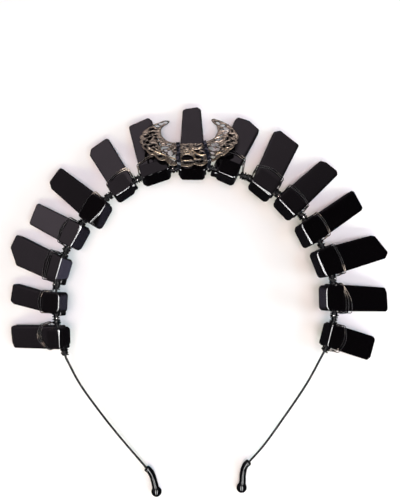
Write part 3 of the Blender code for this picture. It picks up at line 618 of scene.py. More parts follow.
def slabCorners(station):
    rootLeft, rootRight = station["root"]
    startLeft, startRight = station.get("start", (slabSize["root"], slabSize["root"]))
    spare = slabSize["spare"]
    corners = [Vector((rootRight * slabSize["width"] + spare, startRight))]
    for across, reach in reversed(station["end"]):
        corners.append(Vector((across * slabSize["width"], reach * slabSize["reach"] + slabSize["endSpare"])))
    corners[1].x += spare
    corners[-1].x -= spare
    corners.append(Vector((rootLeft * slabSize["width"] - spare, startLeft)))
    return corners


slabTop = -(beadSize["thickness"] / 2 + beadSize["gap"])


def loftedSlab(corners, radii):
    shape = bmesh.new()
    bevel, thickness, steps = slabSize["bevel"], slabSize["thickness"], slabSize["bevelSteps"]
    levels = [(bevel + slabSize["flat"], -thickness)]
    for step in range(steps + 1):
        turn = math.pi / 2 * step / steps
        levels.append((bevel * (1 - math.sin(turn)), -thickness + bevel * (1 - math.cos(turn))))
    for step in range(steps + 1):
        turn = math.pi / 2 * (1 - step / steps)
        levels.append((bevel * (1 - math.sin(turn)), -bevel * (1 - math.cos(turn))))
    levels.append((bevel + slabSize["flat"], 0.0))
    rings = []
    for inset, height in levels:
        outline = roundedOutline(corners, radii, inset)
        rings.append([shape.verts.new((point.x, point.y, slabTop + height)) for point in outline])
    return loftRings(shape, rings)


def makeSlab(number, station):
    corners = slabCorners(station)
    radii = [slabSize["corner"]] * len(corners)
    radii[0] = radii[-1] = slabSize["rootCorner"]
    name, place = f"stoneSlab{number:02d}", stationMatrix(station)
    mesh = meshFrom(name, loftedSlab(corners, radii), place)
    setSheen(mesh, station["sheen"], faceOf(place))
    handOver(showMesh(name, mesh), slabStone, "black_stone", f"slab_{number:02d}")


for number, station in enumerate(stations, 1):
    makeSlab(number, station)
print("slabs done")


# Beads: a block ground flat on each plane, softened where the planes meet, then bored

beadShape = {
    "power": 30.0, "segments": 38, "innerCorner": 1.0, "outerCorner": 0.5, "foot": 0.9, "leastTurn": 8.0,
    "boreSides": 20, "boreLength": 30.0, "sharp": 40.0, "coolFrom": 0.80, "coolSpan": 0.20, "coolGain": 1.3}
# The places along a strip light that are tried, in metres
stripSearch = {"first": -28, "last": 31, "step": 0.025}


def cutPlane(tilt, skew, point):  # tilt from the top towards the inner face, skew along the bead
    tilt, skew = math.radians(tilt), math.radians(skew)
    normal = Vector((math.sin(tilt) * math.sin(skew), -math.sin(tilt) * math.cos(skew), math.cos(tilt)))
    return normal, normal.dot(Vector(point))


def stripNormal(place, skew, extra):  # the face that throws a strip light back at the camera
    spot = toMetres(place).to_translation()
    inward = place.to_3x3() @ Vector((math.sin(math.radians(skew)), -math.cos(math.radians(skew)), 0.0))
    heading = math.atan2(inward.y, inward.x)
    toCamera = (cameraPlace - spot).normalized()
    best = None
    for step in range(stripSearch["first"], stripSearch["last"]):
        aside, ahead = math.copysign(stripLight["across"], inward.x), step * stripSearch["step"]
        target = Vector((aside, ahead, stripLight["height"]))
        normal = (toCamera + (target - spot).normalized()).normalized()
        away = abs(math.remainder(math.atan2(normal.y, normal.x) - heading, math.tau))
        if best is None or away < best[0]:
            best = (away, normal)
    local = place.to_3x3().inverted() @ best[1]
    tilt = math.degrees(math.acos(local.z)) + extra
    return tilt, math.degrees(math.atan2(local.x, -local.y))


def beadPlanes(station, place):
    half = station["long"] * beadSize["length"] / 2
    wide = beadSize["width"] / 2
    deep = beadSize["thickness"] / 2
    foot, slope = beadShape["foot"], station["slope"]
    (near, far), (left, right) = station["edge"], station["ends"]
    inner = -wide - (near + far) / 2
    ridge = inner + deep * (1.0 + foot) / math.tan(math.radians(slope))
    aside = -math.degrees(math.atan((far - near) / (2 * half)))
    planes = [
        (Vector((1, 0, 0)), half + right), (Vector((-1, 0, 0)), half + left), (Vector((0, 1, 0)), wide),
        (Vector((0, 0, 1)), deep), (Vector((0, 0, -1)), deep),
        cutPlane(slope, aside, (0.0, inner, -deep * foot))]
    if slope > 90.0:
        planes.append((Vector((0, -1, 0)), -ridge))
    for width, skew, along, extra in station["strips"]:
        tilt, turn = stripNormal(place, skew + aside, extra)
        rest = max(beadShape["leastTurn"], slope - tilt)
        share = 1 / math.tan(math.radians(tilt)) + 1 / math.tan(math.radians(rest))
        normal, distance = cutPlane(tilt, turn, (along, ridge, deep))
        planes.append((normal, distance - width / share))
    innerCut = station.get("corner", beadShape["innerCorner"])
    for across in (-1, 1):
        for away, cut in ((-1, innerCut), (1, beadShape["outerCorner"])):
            corner = Vector((across, away, 0.0)).normalized()
            end = across * half + (right if across > 0 else -left)
            edge = inner - across * (far - near) / 2 if away < 0 else wide
            planes.append((corner, corner.dot(Vector((end, edge, 0.0))) - cut))
    return planes


def gridBlock(sizes, segments):
    steps = [math.sin(math.pi / 2 * (2 * step / segments - 1)) for step in range(segments + 1)]
    shape = bmesh.new()
    for axis in range(3):
        for side in (-1, 1):
            first, second = (axis + 1) % 3, (axis + 2) % 3
            rows = []
            for down in steps:
                row = []
                for over in steps:
                    place = [0.0, 0.0, 0.0]
                    place[axis], place[first], place[second] = side, over * side, down
                    row.append(shape.verts.new(tuple(value * size for value, size in zip(place, sizes))))
                rows.append(row)
            for low, high in zip(rows, rows[1:]):
                for step in range(segments):
                    shape.faces.new((low[step], low[step + 1], high[step + 1], high[step]))
    bmesh.ops.remove_doubles(shape, verts=shape.verts, dist=1e-5)
    bmesh.ops.recalc_face_normals(shape, faces=shape.faces)
    return shape


def boreBead(piece, name, place):
    bore = bmesh.new()
    bmesh.ops.create_cone(
        bore, cap_ends=True, segments=beadShape["boreSides"], radius1=beadSize["bore"],
        radius2=beadSize["bore"], depth=beadShape["boreLength"])
    across = Matrix.Rotation(math.pi / 2, 4, "Y")
    cutter = showMesh("boreTool", meshFrom("boreTool", bore, place @ across))
    drill = piece.modifiers.new("bore", "BOOLEAN")
    drill.operation = "DIFFERENCE"
    drill.solver = "EXACT"
    drill.object = cutter
    mesh = bakedMesh(piece, name)
    bpy.data.objects.remove(cutter)
    mesh.set_sharp_from_angle(angle=math.radians(beadShape["sharp"]))
    return mesh


def makeBead(number, station):
    half = station["long"] * beadSize["length"] / 2
    sizes = (half, beadSize["width"] / 2, beadSize["thickness"] / 2)
    place = stationMatrix(station) @ Matrix.Rotation(-math.radians(station["turn"]), 4, "Z")
    planes = beadPlanes(station, place)
    shape = gridBlock(sizes, beadShape["segments"])
    power, outward = beadShape["power"], station["out"] * beadSize["width"]
    for vertex in shape.verts:
        direction = vertex.co.normalized()
        total = sum(max(0.0, normal.dot(direction) / distance) ** power for normal, distance in planes)
        vertex.co = direction / total ** (1 / power)
        vertex.co.y += outward
    name = f"stoneBead{number:02d}"
    piece = showMesh(name, meshFrom(name, shape, place))
    mesh = boreBead(piece, name, stationMatrix(station))
    setSheen(mesh, station["beadSheen"], faceOf(place))
    if not station["strips"]:
        fadeRidge(mesh, toMetres(place), half)
    if "hollow" in station:
        lift = Matrix.Translation(Vector((0.0, outward, 0.0)))
        hollowStrip(mesh, toMetres(place @ lift), planes, station["hollow"])
    # painted reflection: blue-grey colour on the inner face, more where it faces straight in
    inner = place.to_3x3() @ cutPlane(station["slope"], 0.0, (0, 0, 0))[0]
    for vertex, item in zip(mesh.vertices, pointLayer(mesh, "cool").data):
        facing = max(0.0, (vertex.normal.dot(inner) - beadShape["coolFrom"]) / beadShape["coolSpan"])
        item.value = station["cool"] * min(1.0, facing * beadShape["coolGain"])
    handOver(piece, beadStone, "black_bead_stone", f"bead_{number:02d}")


for number, station in enumerate(stations, 1):
    makeBead(number, station)
print("beads done")


# Wire trees

wireFields = {  # label, kind and first value of what every wire is given
    "radius": ("Wire Radius", "Float", 0.0005),
    "sides": ("Sides", "Int", 12),
    "material": ("Material", "Material", None),
}
coilFields = {
    "turns": ("Turns", "Float", 4.0),
    "steps": ("Steps a Turn", "Float", 14.0),
    "coil": ("Coil Radius", "Float", 0.001),
    "wobble": ("Wobble", "Float", 0.0),
    "seed": ("Seed", "Float", 1.0),
}
looseNoise = {"scale": 1.3, "inward": 0.35}


def newTree(name, fields):
    tree = bpy.data.node_groups.new(name, "GeometryNodeTree")
    tree.interface.new_socket("Geometry", in_out="INPUT", socket_type="NodeSocketGeometry")
    names = {}
    for key, (label, kind, value) in fields.items():
        socket = tree.interface.new_socket(label, in_out="INPUT", socket_type=f"NodeSocket{kind}")
        if value is not None:
            socket.default_value = value
        names[key] = socket.identifier
    tree.interface.new_socket("Geometry", in_out="OUTPUT", socket_type="NodeSocketGeometry")
    given = tree.nodes.new("NodeGroupInput").outputs
    curve = tree.nodes.new("GeometryNodeMeshToCurve")
    tree.links.new(given["Geometry"], curve.inputs["Mesh"])
    return tree, names, given, curve.outputs["Curve"]


def sweepCurve(tree, given, curve):  # the wire's round section, swept along the curve
    net = Net(tree)
    circle = net.new("GeometryNodeCurvePrimitiveCircle")
    net.link(given["Wire Radius"], circle.inputs["Radius"])
    net.link(given["Sides"], circle.inputs["Resolution"])
    sweep = net.new("GeometryNodeCurveToMesh")
    sweep.inputs["Fill Caps"].default_value = True
    net.link(curve, sweep.inputs["Curve"])
    net.link(circle.outputs["Curve"], sweep.inputs["Profile Curve"])
    result = sweep.outputs["Mesh"]
    for kind in ("SetShadeSmooth", "SetMaterial", "RealizeInstances"):
        step = net.new(f"GeometryNode{kind}")
        net.link(result, step.inputs["Geometry"])
        if kind == "SetMaterial":
            net.link(given["Material"], step.inputs["Material"])
        result = step.outputs["Geometry"]
    net.link(result, net.new("NodeGroupOutput").inputs["Geometry"])


def vectorNode(net, operation, first, second, socket=1):
    node = net.new("ShaderNodeVectorMath", operation=operation)
    net.link(first, node.inputs[0])
    net.link(second, node.inputs[socket])
    return node.outputs[0]


def roundWireTree():
    tree, names, given, curve = newTree("roundWire", wireFields)
    sweepCurve(tree, given, curve)
    return tree, names


def coilTree():
    tree, names, given, curve = newTree("wireCoil", {**coilFields, **wireFields})
    net = Net(tree)
    resample = net.new("GeometryNodeResampleCurve")
    net.link(curve, resample.inputs["Curve"])
    net.link(net.math("MULTIPLY", given["Turns"], given["Steps a Turn"]), resample.inputs["Count"])
    along = net.new("GeometryNodeSplineParameter").outputs["Factor"]
    turned = net.math("MULTIPLY", along, given["Turns"])
    turned = net.math("MULTIPLY", turned, math.tau)
    normal = net.new("GeometryNodeInputNormal").outputs["Normal"]
    tangent = net.new("GeometryNodeInputTangent").outputs["Tangent"]
    side = vectorNode(net, "CROSS_PRODUCT", tangent, normal)
    loose = net.new("ShaderNodeTexNoise", noise_dimensions="1D")
    loose.inputs["Scale"].default_value = looseNoise["scale"]
    net.link(net.math("ADD", turned, given["Seed"]), loose.inputs["W"])
    swell = net.math("SUBTRACT", loose.outputs["Fac"], looseNoise["inward"])
    swell = net.math("MULTIPLY", swell, given["Wobble"])
    reach = net.math("ADD", given["Coil Radius"], swell)
    parts = []
    for direction, wave in ((normal, "COSINE"), (side, "SINE")):
        amount = net.math("MULTIPLY", net.math(wave, turned), reach)
        parts.append(vectorNode(net, "SCALE", direction, amount, "Scale"))
    move = net.new("GeometryNodeSetPosition")
    net.link(resample.outputs["Curve"], move.inputs["Geometry"])
    net.link(vectorNode(net, "ADD", *parts), move.inputs["Offset"])
    sweepCurve(tree, given, move.outputs["Geometry"])
    return tree, names


roundWire = roundWireTree()
wireCoil = coilTree()


def lineMesh(name, runs):  # runs of points in ring millimetres
    verts, edges = [], []
    place = toMetres(Matrix.Identity(4))
    for run in runs:
        first = len(verts)
        verts.extend(place @ point for point in run)
        edges.extend((first + step, first + step + 1) for step in range(len(run) - 1))
    mesh = bpy.data.meshes.new(name)
    mesh.from_pydata(verts, edges, [])
    return mesh


def sweptMesh(name, runs, treeAndNames, material, **values):
    tree, names = treeAndNames
    piece = showMesh(name, lineMesh(name, runs))
    modifier = piece.modifiers.new("wire", "NODES")
    modifier.node_group = tree
    modifier[names["material"]] = material
    for label, value in values.items():
        modifier[names[label]] = value
    bakedMesh(piece, name)
    return piece


def joinPieces(name, pieces, materials):
    shape = bmesh.new()
    for piece in pieces:
        first = len(shape.faces)
        shape.from_mesh(piece.data)
        shape.faces.ensure_lookup_table()
        for face in shape.faces[first:]:
            face.material_index = materials.index(piece.data.materials[0])
    mesh = bpy.data.meshes.new(name)
    shape.to_mesh(mesh)
    shape.free()
    for material in materials:
        mesh.materials.append(material)
    mesh.shade_smooth()
    for piece in pieces:
        bpy.data.objects.remove(piece)
    return showMesh(name, mesh)


# Band: straight through each bead, bent between them, then the two legs

legRoutes = {  # across in half widths, drop in leg drops, rise in band heights
    "left": ((-0.929, 0.271, 1.00), (-0.837, 0.407, 0.83), (-0.701, 0.555, 0.63),
             (-0.560, 0.692, 0.45), (-0.368, 0.865, 0.22)),
    "right": ((0.921, 0.251, 1.00), (0.808, 0.413, 0.79), (0.637, 0.608, 0.53),
              (0.515, 0.738, 0.36), (0.406, 0.833, 0.23)),
}
tipRoutes = {
    "left": ((-0.342, 0.883, 0.19), (-0.321, 0.916, 0.14), (-0.306, 0.958, 0.10), (-0.294, 0.9944, 0.09)),
    "right": ((0.376, 0.856, 0.20), (0.361, 0.901, 0.14), (0.359, 0.946, 0.10), (0.352, 0.974, 0.09)),
}
tipSize = {
    "tube": 3.7, "ball": 5.7, "floor": 2.91, "sides": 28, "steps": 9, "waist": 0.04,
    "cuff": ((0.0, 0.55), (0.02, 0.80), (0.15, 0.93), (0.45, 1.0)), "collar": (0.25, 1.08),
    "ballTurns": (-34, 90, 9)}


def routePoints(rows):
    return [Vector((across * band["halfWidth"], -drop * band["legDrop"], rise * band["height"]))
            for across, drop, rise in rows]


def tipPoints(side):
    points = smoothRun(routePoints(legRoutes[side][-1:] + tipRoutes[side]), 8)
    for point in points:
        point.z = max(point.z, tipSize["floor"])
    return points


def bandPoints():
    straights = []
    for station in stations:
        place, along, _ = bandFrame(station["angle"])
        half = station["long"] * beadSize["length"] / 2 + beadSize["gap"]
        straights.append((place - along * half, place + along * half))
    points = [tipPoints("left")[2]]
    points.extend(smoothRun(list(reversed(routePoints(legRoutes["left"]))), 6))
    for index, (start, end) in enumerate(straights):
        points.extend((start, end))
        if index + 1 < len(straights):
            nextStart, nextEnd = straights[index + 1]
            span = (nextStart - end).length / band["pull"]
            ahead = (end - start).normalized() * span
            behind = (nextStart - nextEnd).normalized() * span
            for step in range(1, band["bendSteps"]):  # a Bezier bend between two beads
                t = step / band["bendSteps"]
                points.append(
                    end * (1 - t) ** 3 + (end + ahead) * 3 * t * (1 - t) ** 2
                    + (nextStart + behind) * 3 * t * t * (1 - t) + nextStart * t ** 3)
    points.extend(smoothRun(routePoints(legRoutes["right"]), 6))
    points.append(tipPoints("right")[2])
    return points


class Path:
    def __init__(self, points):
        self.points = points
        self.lengths = [0.0]
        for start, end in zip(points, points[1:]):
            self.lengths.append(self.lengths[-1] + (end - start).length)

    def at(self, distance):
        for index in range(1, len(self.points)):
            if self.lengths[index] >= distance or index == len(self.points) - 1:
                span = self.lengths[index] - self.lengths[index - 1]
                share = (distance - self.lengths[index - 1]) / span
                return self.points[index - 1].lerp(self.points[index], share)

    def stretch(self, start, end, steps):
        return [self.at(start + (end - start) * step / steps) for step in range(steps + 1)]

    def nearest(self, point):
        index = min(range(len(self.points)), key=lambda item: (self.points[item] - point).length)
        return self.lengths[index]


bandPath = Path(bandPoints())
bandPiece = sweptMesh(
    "bandWire", [bandPath.points], roundWire, springWire, radius=band["wire"] / 2 * mm, sides=band["sides"])
handOver(bandPiece, None, "blackened_wire", "band_wire")


def stationDistance(station):
    place, along, _ = bandFrame(station["angle"])
    half = station["long"] * beadSize["length"] / 2 + beadSize["gap"]
    return bandPath.nearest(place - along * half) + half


distances = [stationDistance(station) for station in stations]


def sweptTube(points, radii, sides):
    shape = bmesh.new()
    rings, normal = [], None
    for index, point in enumerate(points):
        ahead = points[min(index + 1, len(points) - 1)] - point
        behind = point - points[max(index - 1, 0)]
        direction = (ahead.normalized() + behind.normalized()).normalized()
        normal = direction.orthogonal() if normal is None else normal
        normal = (normal - direction * normal.dot(direction)).normalized()
        across = direction.cross(normal)
        rings.append([
            shape.verts.new(point + (
                normal * math.cos(math.tau * step / sides) + across * math.sin(math.tau * step / sides)
            ) * radii[index]) for step in range(sides)])
    return loftRings(shape, rings)


def makeTip(side):
    route = Path(tipPoints(side))
    ball, tube = tipSize["ball"] / 2, tipSize["tube"] / 2
    length, steps, (collar, flare) = route.lengths[-1], tipSize["steps"], tipSize["collar"]
    rows = [(distance, tube * share) for distance, share in tipSize["cuff"]]
    first = rows[-1][0]
    neck = length - math.sqrt(ball * ball - tube * tube) - collar
    for step in range(1, steps + 1):
        waist = 1 - tipSize["waist"] * math.sin(math.pi * step / steps)
        rows.append((first + (neck - first) * step / steps, tube * waist))
    rows.append((neck + collar, tube * flare))
    rows.extend((length + ball * math.sin(math.radians(turn)), ball * math.cos(math.radians(turn)))
                for turn in range(*tipSize["ballTurns"]))
    end = (route.points[-1] - route.points[-2]).normalized()
    points = [
        route.points[-1] + end * (distance - length) if distance > length else route.at(distance)
        for distance, _ in rows]
    name = f"rubberTip_{side}"
    mesh = meshFrom(name, sweptTube(points, [radius for _, radius in rows], tipSize["sides"]))
    handOver(showMesh(name, mesh), blackRubber, "black_rubber", f"tip_{side}")


makeTip("left")
makeTip("right")
print("band and tips done")


# Lashings: tight and loose coils on the band, and strands bound round each slab

lashing = {
    "wire": 0.55, "strand": 0.44, "sides": 8, "clear": 0.04,
    "pitch": 0.52, "coil": 1.05, "tightWobble": 0.1,
    "loosePitch": 1.3, "looseCoil": 1.65, "wobble": 0.9, "leastTurns": 1.5,
    "coilGap": 0.25, "endCoil": 3.4, "edge": 0.85, "spreads": (1.0, 0.68, 0.4), "backStep": 0.9,
    "knot": (1.3, 2.3), "knotPlace": 1.25, "knotTurns": 26, "knotTurn": (1.4, 2.4), "knotSlide": 1.1,
    "knotHalf": 1.5, "hook": 0.8, "hookOut": 1.0,
    "bevel": 0.55, "corner": (0.4, 0.5), "beside": 1.6, "behind": (1.1, 0.62, 2.0), "faceSteps": 8,
    "backSide": (1.2, 1.4), "backRise": 1.2, "backIn": 0.3, "spare": 0.1,
}
# How far each lashing's strands are rubbed bare
bareness = (0.50, 0.50, 0.14, 0.08, 0.62, 0.50, 0.66, 0.30, 0.14, 0.26, 0.14, 0.34, 0.28, 0.42, 0.34)
# Where each strand crosses the face of its slab: out from the band at the left edge,
# the middle and the right edge
strandRows = [
    ((13.5, 18.8, 15.0), (12.4, 17.7, 14.0), (12.0, 16.4, 13.2)),
    ((14.2, 15.9, 13.9), (13.2, 14.2, 12.8)),
    ((13.2, 14.2, 13.2), (12.0, 12.7, 11.8), (10.9, 11.6, 11.0)),
    ((11.3, 13.8, 12.2), (10.4, 12.6, 11.0)),
    ((7.8, 10.6, 10.9), (7.0, 9.6, 10.0)),
    ((10.7, 13.4, 12.9), (9.6, 12.2, 11.8)),
    ((11.4, 14.6, 15.2), (10.5, 13.6, 14.0)),
    ((12.0, 13.0, 12.0), (11.0, 12.0, 11.0)),
    ((15.4, 16.4, 13.8), (14.2, 15.0, 12.6)),
    ((12.6, 15.0, 12.9), (11.4, 13.8, 11.8)),
    ((12.4, 13.0, 10.6), (11.2, 11.8, 9.8)),
    ((12.2, 12.9, 11.4), (11.2, 11.9, 10.6)),
    ((10.4, 12.0, 11.9), (9.6, 11.0, 11.0)),
    ((9.0, 14.0, 14.6), (8.4, 12.2, 12.2), (8.0, 10.8, 10.6)),
    ((12.6, 15.2, 12.4), (11.6, 13.8, 10.6)),
]


def slabEdges(station, out):
    edges = []
    for root, end in ((station["root"][0], station["end"][0]), (station["root"][1], station["end"][-1])):
        share = (out - slabSize["root"]) / (end[1] * slabSize["reach"] - slabSize["root"])
        spare = math.copysign(slabSize["spare"], root)
        edges.append((root + (end[0] - root) * share) * slabSize["width"] + spare)
    return edges


def edgePoints(place, side, across, out, edge):  # from behind the slab round its edge
    bevel, beside = slabSize["bevel"] * lashing["bevel"], lashing["beside"]
    (inward, down), (aside, share, deep) = lashing["corner"], lashing["behind"]
    return [place @ Vector(spot) for spot in (
        (across + side * edge * aside, out * share, slabTop - deep),
        (across + side * edge, out - beside, slabTop - beside),
        (across + side * edge - side * bevel * inward, out, slabTop - bevel * down))]


def strandRun(station, row, knots, spread):
    place = stationMatrix(station)
    height = slabTop + (lashing["wire"] / 2 + lashing["clear"])
    left, middle, right = row
    leftEdge, rightEdge = slabEdges(station, left)[0], slabEdges(station, right)[1]
    edge = lashing["edge"] * spread
    points = [knots[0], *edgePoints(place, -1, leftEdge, left, edge)]
    for step in range(1, lashing["faceSteps"]):
        t = step / lashing["faceSteps"]
        out = left * (1 - t) ** 2 + (2 * middle - (left + right) / 2) * 2 * t * (1 - t) + right * t * t
        points.append(place @ Vector((leftEdge + (rightEdge - leftEdge) * t, out, height)))
    points.extend((*reversed(edgePoints(place, 1, rightEdge, right, edge)), knots[1]))
    return smoothRun(points, 3)


def backRun(station, row, shift):
    place = stationMatrix(station)
    off = lashing["wire"] / 2 + lashing["clear"]
    bottom = slabTop - slabSize["thickness"]
    (back, down), rise, inward = lashing["backSide"], lashing["backRise"], lashing["backIn"]
    out = (row[0] + row[2]) / 2 + shift
    leftEdge, rightEdge = slabEdges(station, out)
    return smoothRun([place @ Vector(spot) for spot in (
        (leftEdge - off, row[0] - back, slabTop - down),
        (leftEdge - off, out, bottom + rise),
        (leftEdge + inward, out, bottom - off),
        ((leftEdge + rightEdge) / 2, out, bottom - off),
        (rightEdge - inward, out, bottom - off),
        (rightEdge + off, out, bottom + rise),
        (rightEdge + off, row[2] - back, slabTop - down),
    )], 4)


def coilEnds(index, side):
    station, gap = stations[index], lashing["coilGap"]
    turn = abs(math.radians(station["turn"]))
    half = station["long"] * beadSize["length"] / 2
    start = half / math.cos(turn) + band["wire"] * math.tan(turn) + gap
    neighbour = index + side
    length = lashing["endCoil"]
    if 0 <= neighbour < len(stations):
        otherHalf = stations[neighbour]["long"] * beadSize["length"] / 2 + gap
        room = abs(distances[neighbour] - distances[index]) - start - otherHalf
        length = room / 2 - lashing["spare"]
    return distances[index] + side * start, distances[index] + side * (start + length)


def knotRun(middle, along, outward, seed):  # a messy tangle round the band
    dice = random.Random(seed)
    up = Vector((0, 0, 1))
    most, jump = lashing["knotHalf"], lashing["knotSlide"]
    points, turn, slide = [], 0.0, 0.0
    for _ in range(lashing["knotTurns"]):
        turn += dice.uniform(*lashing["knotTurn"])
        slide = max(-most, min(most, slide + dice.uniform(-jump, jump)))
        reach = dice.uniform(*lashing["knot"])
        points.append(middle + along * slide + (outward * math.cos(turn) + up * math.sin(turn)) * reach)
    return smoothRun(points, 4)


def makeLashing(index):
    station, number = stations[index], index + 1
    _, along, outward = bandFrame(station["angle"])
    sides, wire, strand = lashing["sides"], lashing["wire"] / 2 * mm, lashing["strand"] / 2 * mm
    pieces, knots = [], []
    for side in (-1, 1):
        start, end = coilEnds(index, side)
        run = bandPath.stretch(min(start, end), max(start, end), 6)
        length = abs(end - start)
        tight = (length / lashing["pitch"], lashing["coil"], lashing["tightWobble"], float(number))
        looseTurns = max(lashing["leastTurns"], length / lashing["loosePitch"])
        loose = (looseTurns, lashing["looseCoil"], lashing["wobble"], number * 7.3 + side)
        for turns, coil, wobble, seed in (tight, loose):
            pieces.append(sweptMesh(
                "coil", [run], wireCoil, darkWire, turns=turns, coil=coil * mm, radius=wire, sides=sides,
                wobble=wobble * mm, seed=seed))
        middle = bandPath.at(start + side * lashing["knotPlace"])
        tangle = knotRun(middle, along, outward, number * 2 + side)
        pieces.append(sweptMesh("knot", [tangle], roundWire, darkWire, radius=strand, sides=sides))
        knot = bandPath.at(start + side * lashing["hook"])
        knots.append(knot + outward * lashing["hookOut"] - Vector((0, 0, lashing["hook"])))
    rows = strandRows[index]
    runs = [strandRun(station, row, knots, spread) for row, spread in zip(rows, lashing["spreads"])]
    runs.extend(backRun(station, row, -lashing["backStep"] * step) for step, row in enumerate(rows[:2]))
    pieces.append(sweptMesh("strands", runs, roundWire, wornWire, radius=strand, sides=sides))
    layer = pointLayer(pieces[-1].data, "worn")
    layer.data.foreach_set("value", [bareness[index]] * len(layer.data))
    piece = joinPieces(f"bindingWire{number:02d}", pieces, [darkWire, wornWire])
    handOver(piece, None, "blackened_wire", f"lashing_{number:02d}")


for index in range(len(stations)):
    makeLashing(index)
print("lashings done")


# Crescent

crescent = {
    "halfWidth": 26.0, "foot": 21.8, "hollowHalf": 15.3, "hollowDepth": 11.3, "hollowRise": 6.9,
    "footRound": 1.72, "hollowRound": 3.0, "lean": 44.0, "twist": 2.0, "shift": -1.3, "overhang": 6.3,
    "seatRound": 0.9, "thickness": 1.3, "back": -0.82, "front": 0.06, "rim": 0.46, "lip": 0.30,
    "rimCorners": 81, "widen": 0.46, "leastReach": 0.3, "sink": 0.12, "voxel": 0.17,
    "taper": 0.42, "taperFrom": 3.0, "taperSpan": 8.0}
# The casting's surface and its painted warm light: where each change begins and ends in millimetres, and how
# strong it is
relief = {
    "warp": 0.6, "warpReach": 0.5, "cells": 0.52, "cellEdge": 0.42, "cellRim": 0.7,
    "ridge": 0.12, "ridgePits": 0.2, "face": -0.1, "domeSpan": 0.8, "dome": 0.50, "drop": 0.45, "pit": 0.42,
    "grain": 2.1, "grainHeight": 0.09, "grainRim": 0.5, "level": -0.20, "rise": 0.74, "riseSpan": 0.45,
    "pitDark": 0.75, "ridgeLight": 0.9, "lowLight": 0.6, "lowFrom": 9.0, "lowSpan": 8.0,
    "paintedWarmFrom": 6.0, "paintedWarmSpan": 5.0, "side": -0.25}


def crescentMatrix():
    station = stations[middleStation]
    place = stationMatrix(station)
    along = place.to_3x3() @ Vector((1, 0, 0))
    outward = Vector((0, 0, 1)).cross(along).normalized()
    out, face, turn = leaningFrame(along, outward, math.radians(crescent["lean"]))
    edge = beadSize["width"] * (0.5 + station["out"])
    seats = [
        place @ Vector((0.0, edge - outCut, beadSize["thickness"] / 2 - topCut))
        for outCut, topCut in ((crescent["seatRound"], 0.0), (0.0, crescent["seatRound"]))]
    seat = max(seats, key=lambda point: point.dot(face))
    back = beadSize["gap"] + crescent["thickness"] / 2
    centre = seat + face * back + along * crescent["shift"] + out * (crescent["foot"] - crescent["overhang"])
    return Matrix.Translation(centre) @ turn @ Matrix.Rotation(math.radians(crescent["twist"]), 4, "Z")


# Traced outline, from the left horn round the rim to the right horn and back along the hollow
crescentOutline = [
    (-10.4, 15.8), (-11.8, 16.5), (-13.4, 16.5), (-14.9, 15.8), (-16.2, 14.9), (-18.3, 14.1),
    (-19.7, 12.9), (-21, 11.7), (-22.4, 10.6), (-23.5, 9.1), (-24.9, 7.3), (-24.8, 5.5),
    (-26.1, 3.8), (-26.2, 2.1), (-25.5, 0.8), (-26.3, -0.8), (-25.9, -2.2), (-24.8, -3),
    (-25.2, -4.8), (-24.5, -6.6), (-23.4, -7.6), (-22.6, -9.2), (-21.9, -10.7), (-20.5, -12),
    (-19.2, -12.4), (-18, -14.2), (-16.6, -16.4), (-14.9, -17.2), (-13.2, -17.2), (-12.2, -18.7),
    (-11.3, -20.4), (-10.1, -21.5), (-8.6, -21.6), (-7.7, -21.4), (-6.5, -20.8), (-5.6, -21),
    (-4.9, -22.1), (-3.9, -22.7), (-1.9, -23.1), (-0.1, -22.9), (1, -22), (1.9, -21.4),
    (2.9, -22.1), (3.9, -22.6), (5.9, -22.6), (7.1, -22.1), (8.1, -20.8), (9.7, -20.2),
    (12.2, -19.5), (13.5, -18.4), (15, -16.6), (15.9, -15.5), (17.6, -15), (18.9, -13.9),
    (20, -12.2), (20.9, -10.9), (22.2, -10.1), (23.3, -8.4), (23.2, -6.7), (24.2, -6), (25.5, -5),
    (25, -3.1), (25.7, -2), (26.2, -0.3), (25.8, 1.8), (25.3, 3.3), (24.6, 5.1), (24, 6.9),
    (23.2, 8.7), (22.1, 10.4), (20.7, 11.9), (19.2, 13.2), (17.8, 14.4), (16.4, 15.4), (15.3, 15.9),
    (14.4, 16.5), (13.1, 15.6), (13.7, 13.6), (14.7, 11.9), (15.7, 10.3), (15.9, 8.3), (16, 6.3),
    (15.6, 3.9), (14.7, 1.7), (14, -0.2), (12.6, -1.5), (10, -3.1), (6.1, -4.7), (3.5, -4.8),
    (0.3, -4.7), (-2.8, -4.5), (-5.2, -4.4), (-7.4, -3.5), (-9.9, -2.9), (-12.2, -1.4), (-13.7, 1),
    (-14.9, 3.2), (-15.3, 6), (-15.2, 9), (-14.5, 10.8), (-13, 12.8), (-11.5, 14.1),
]
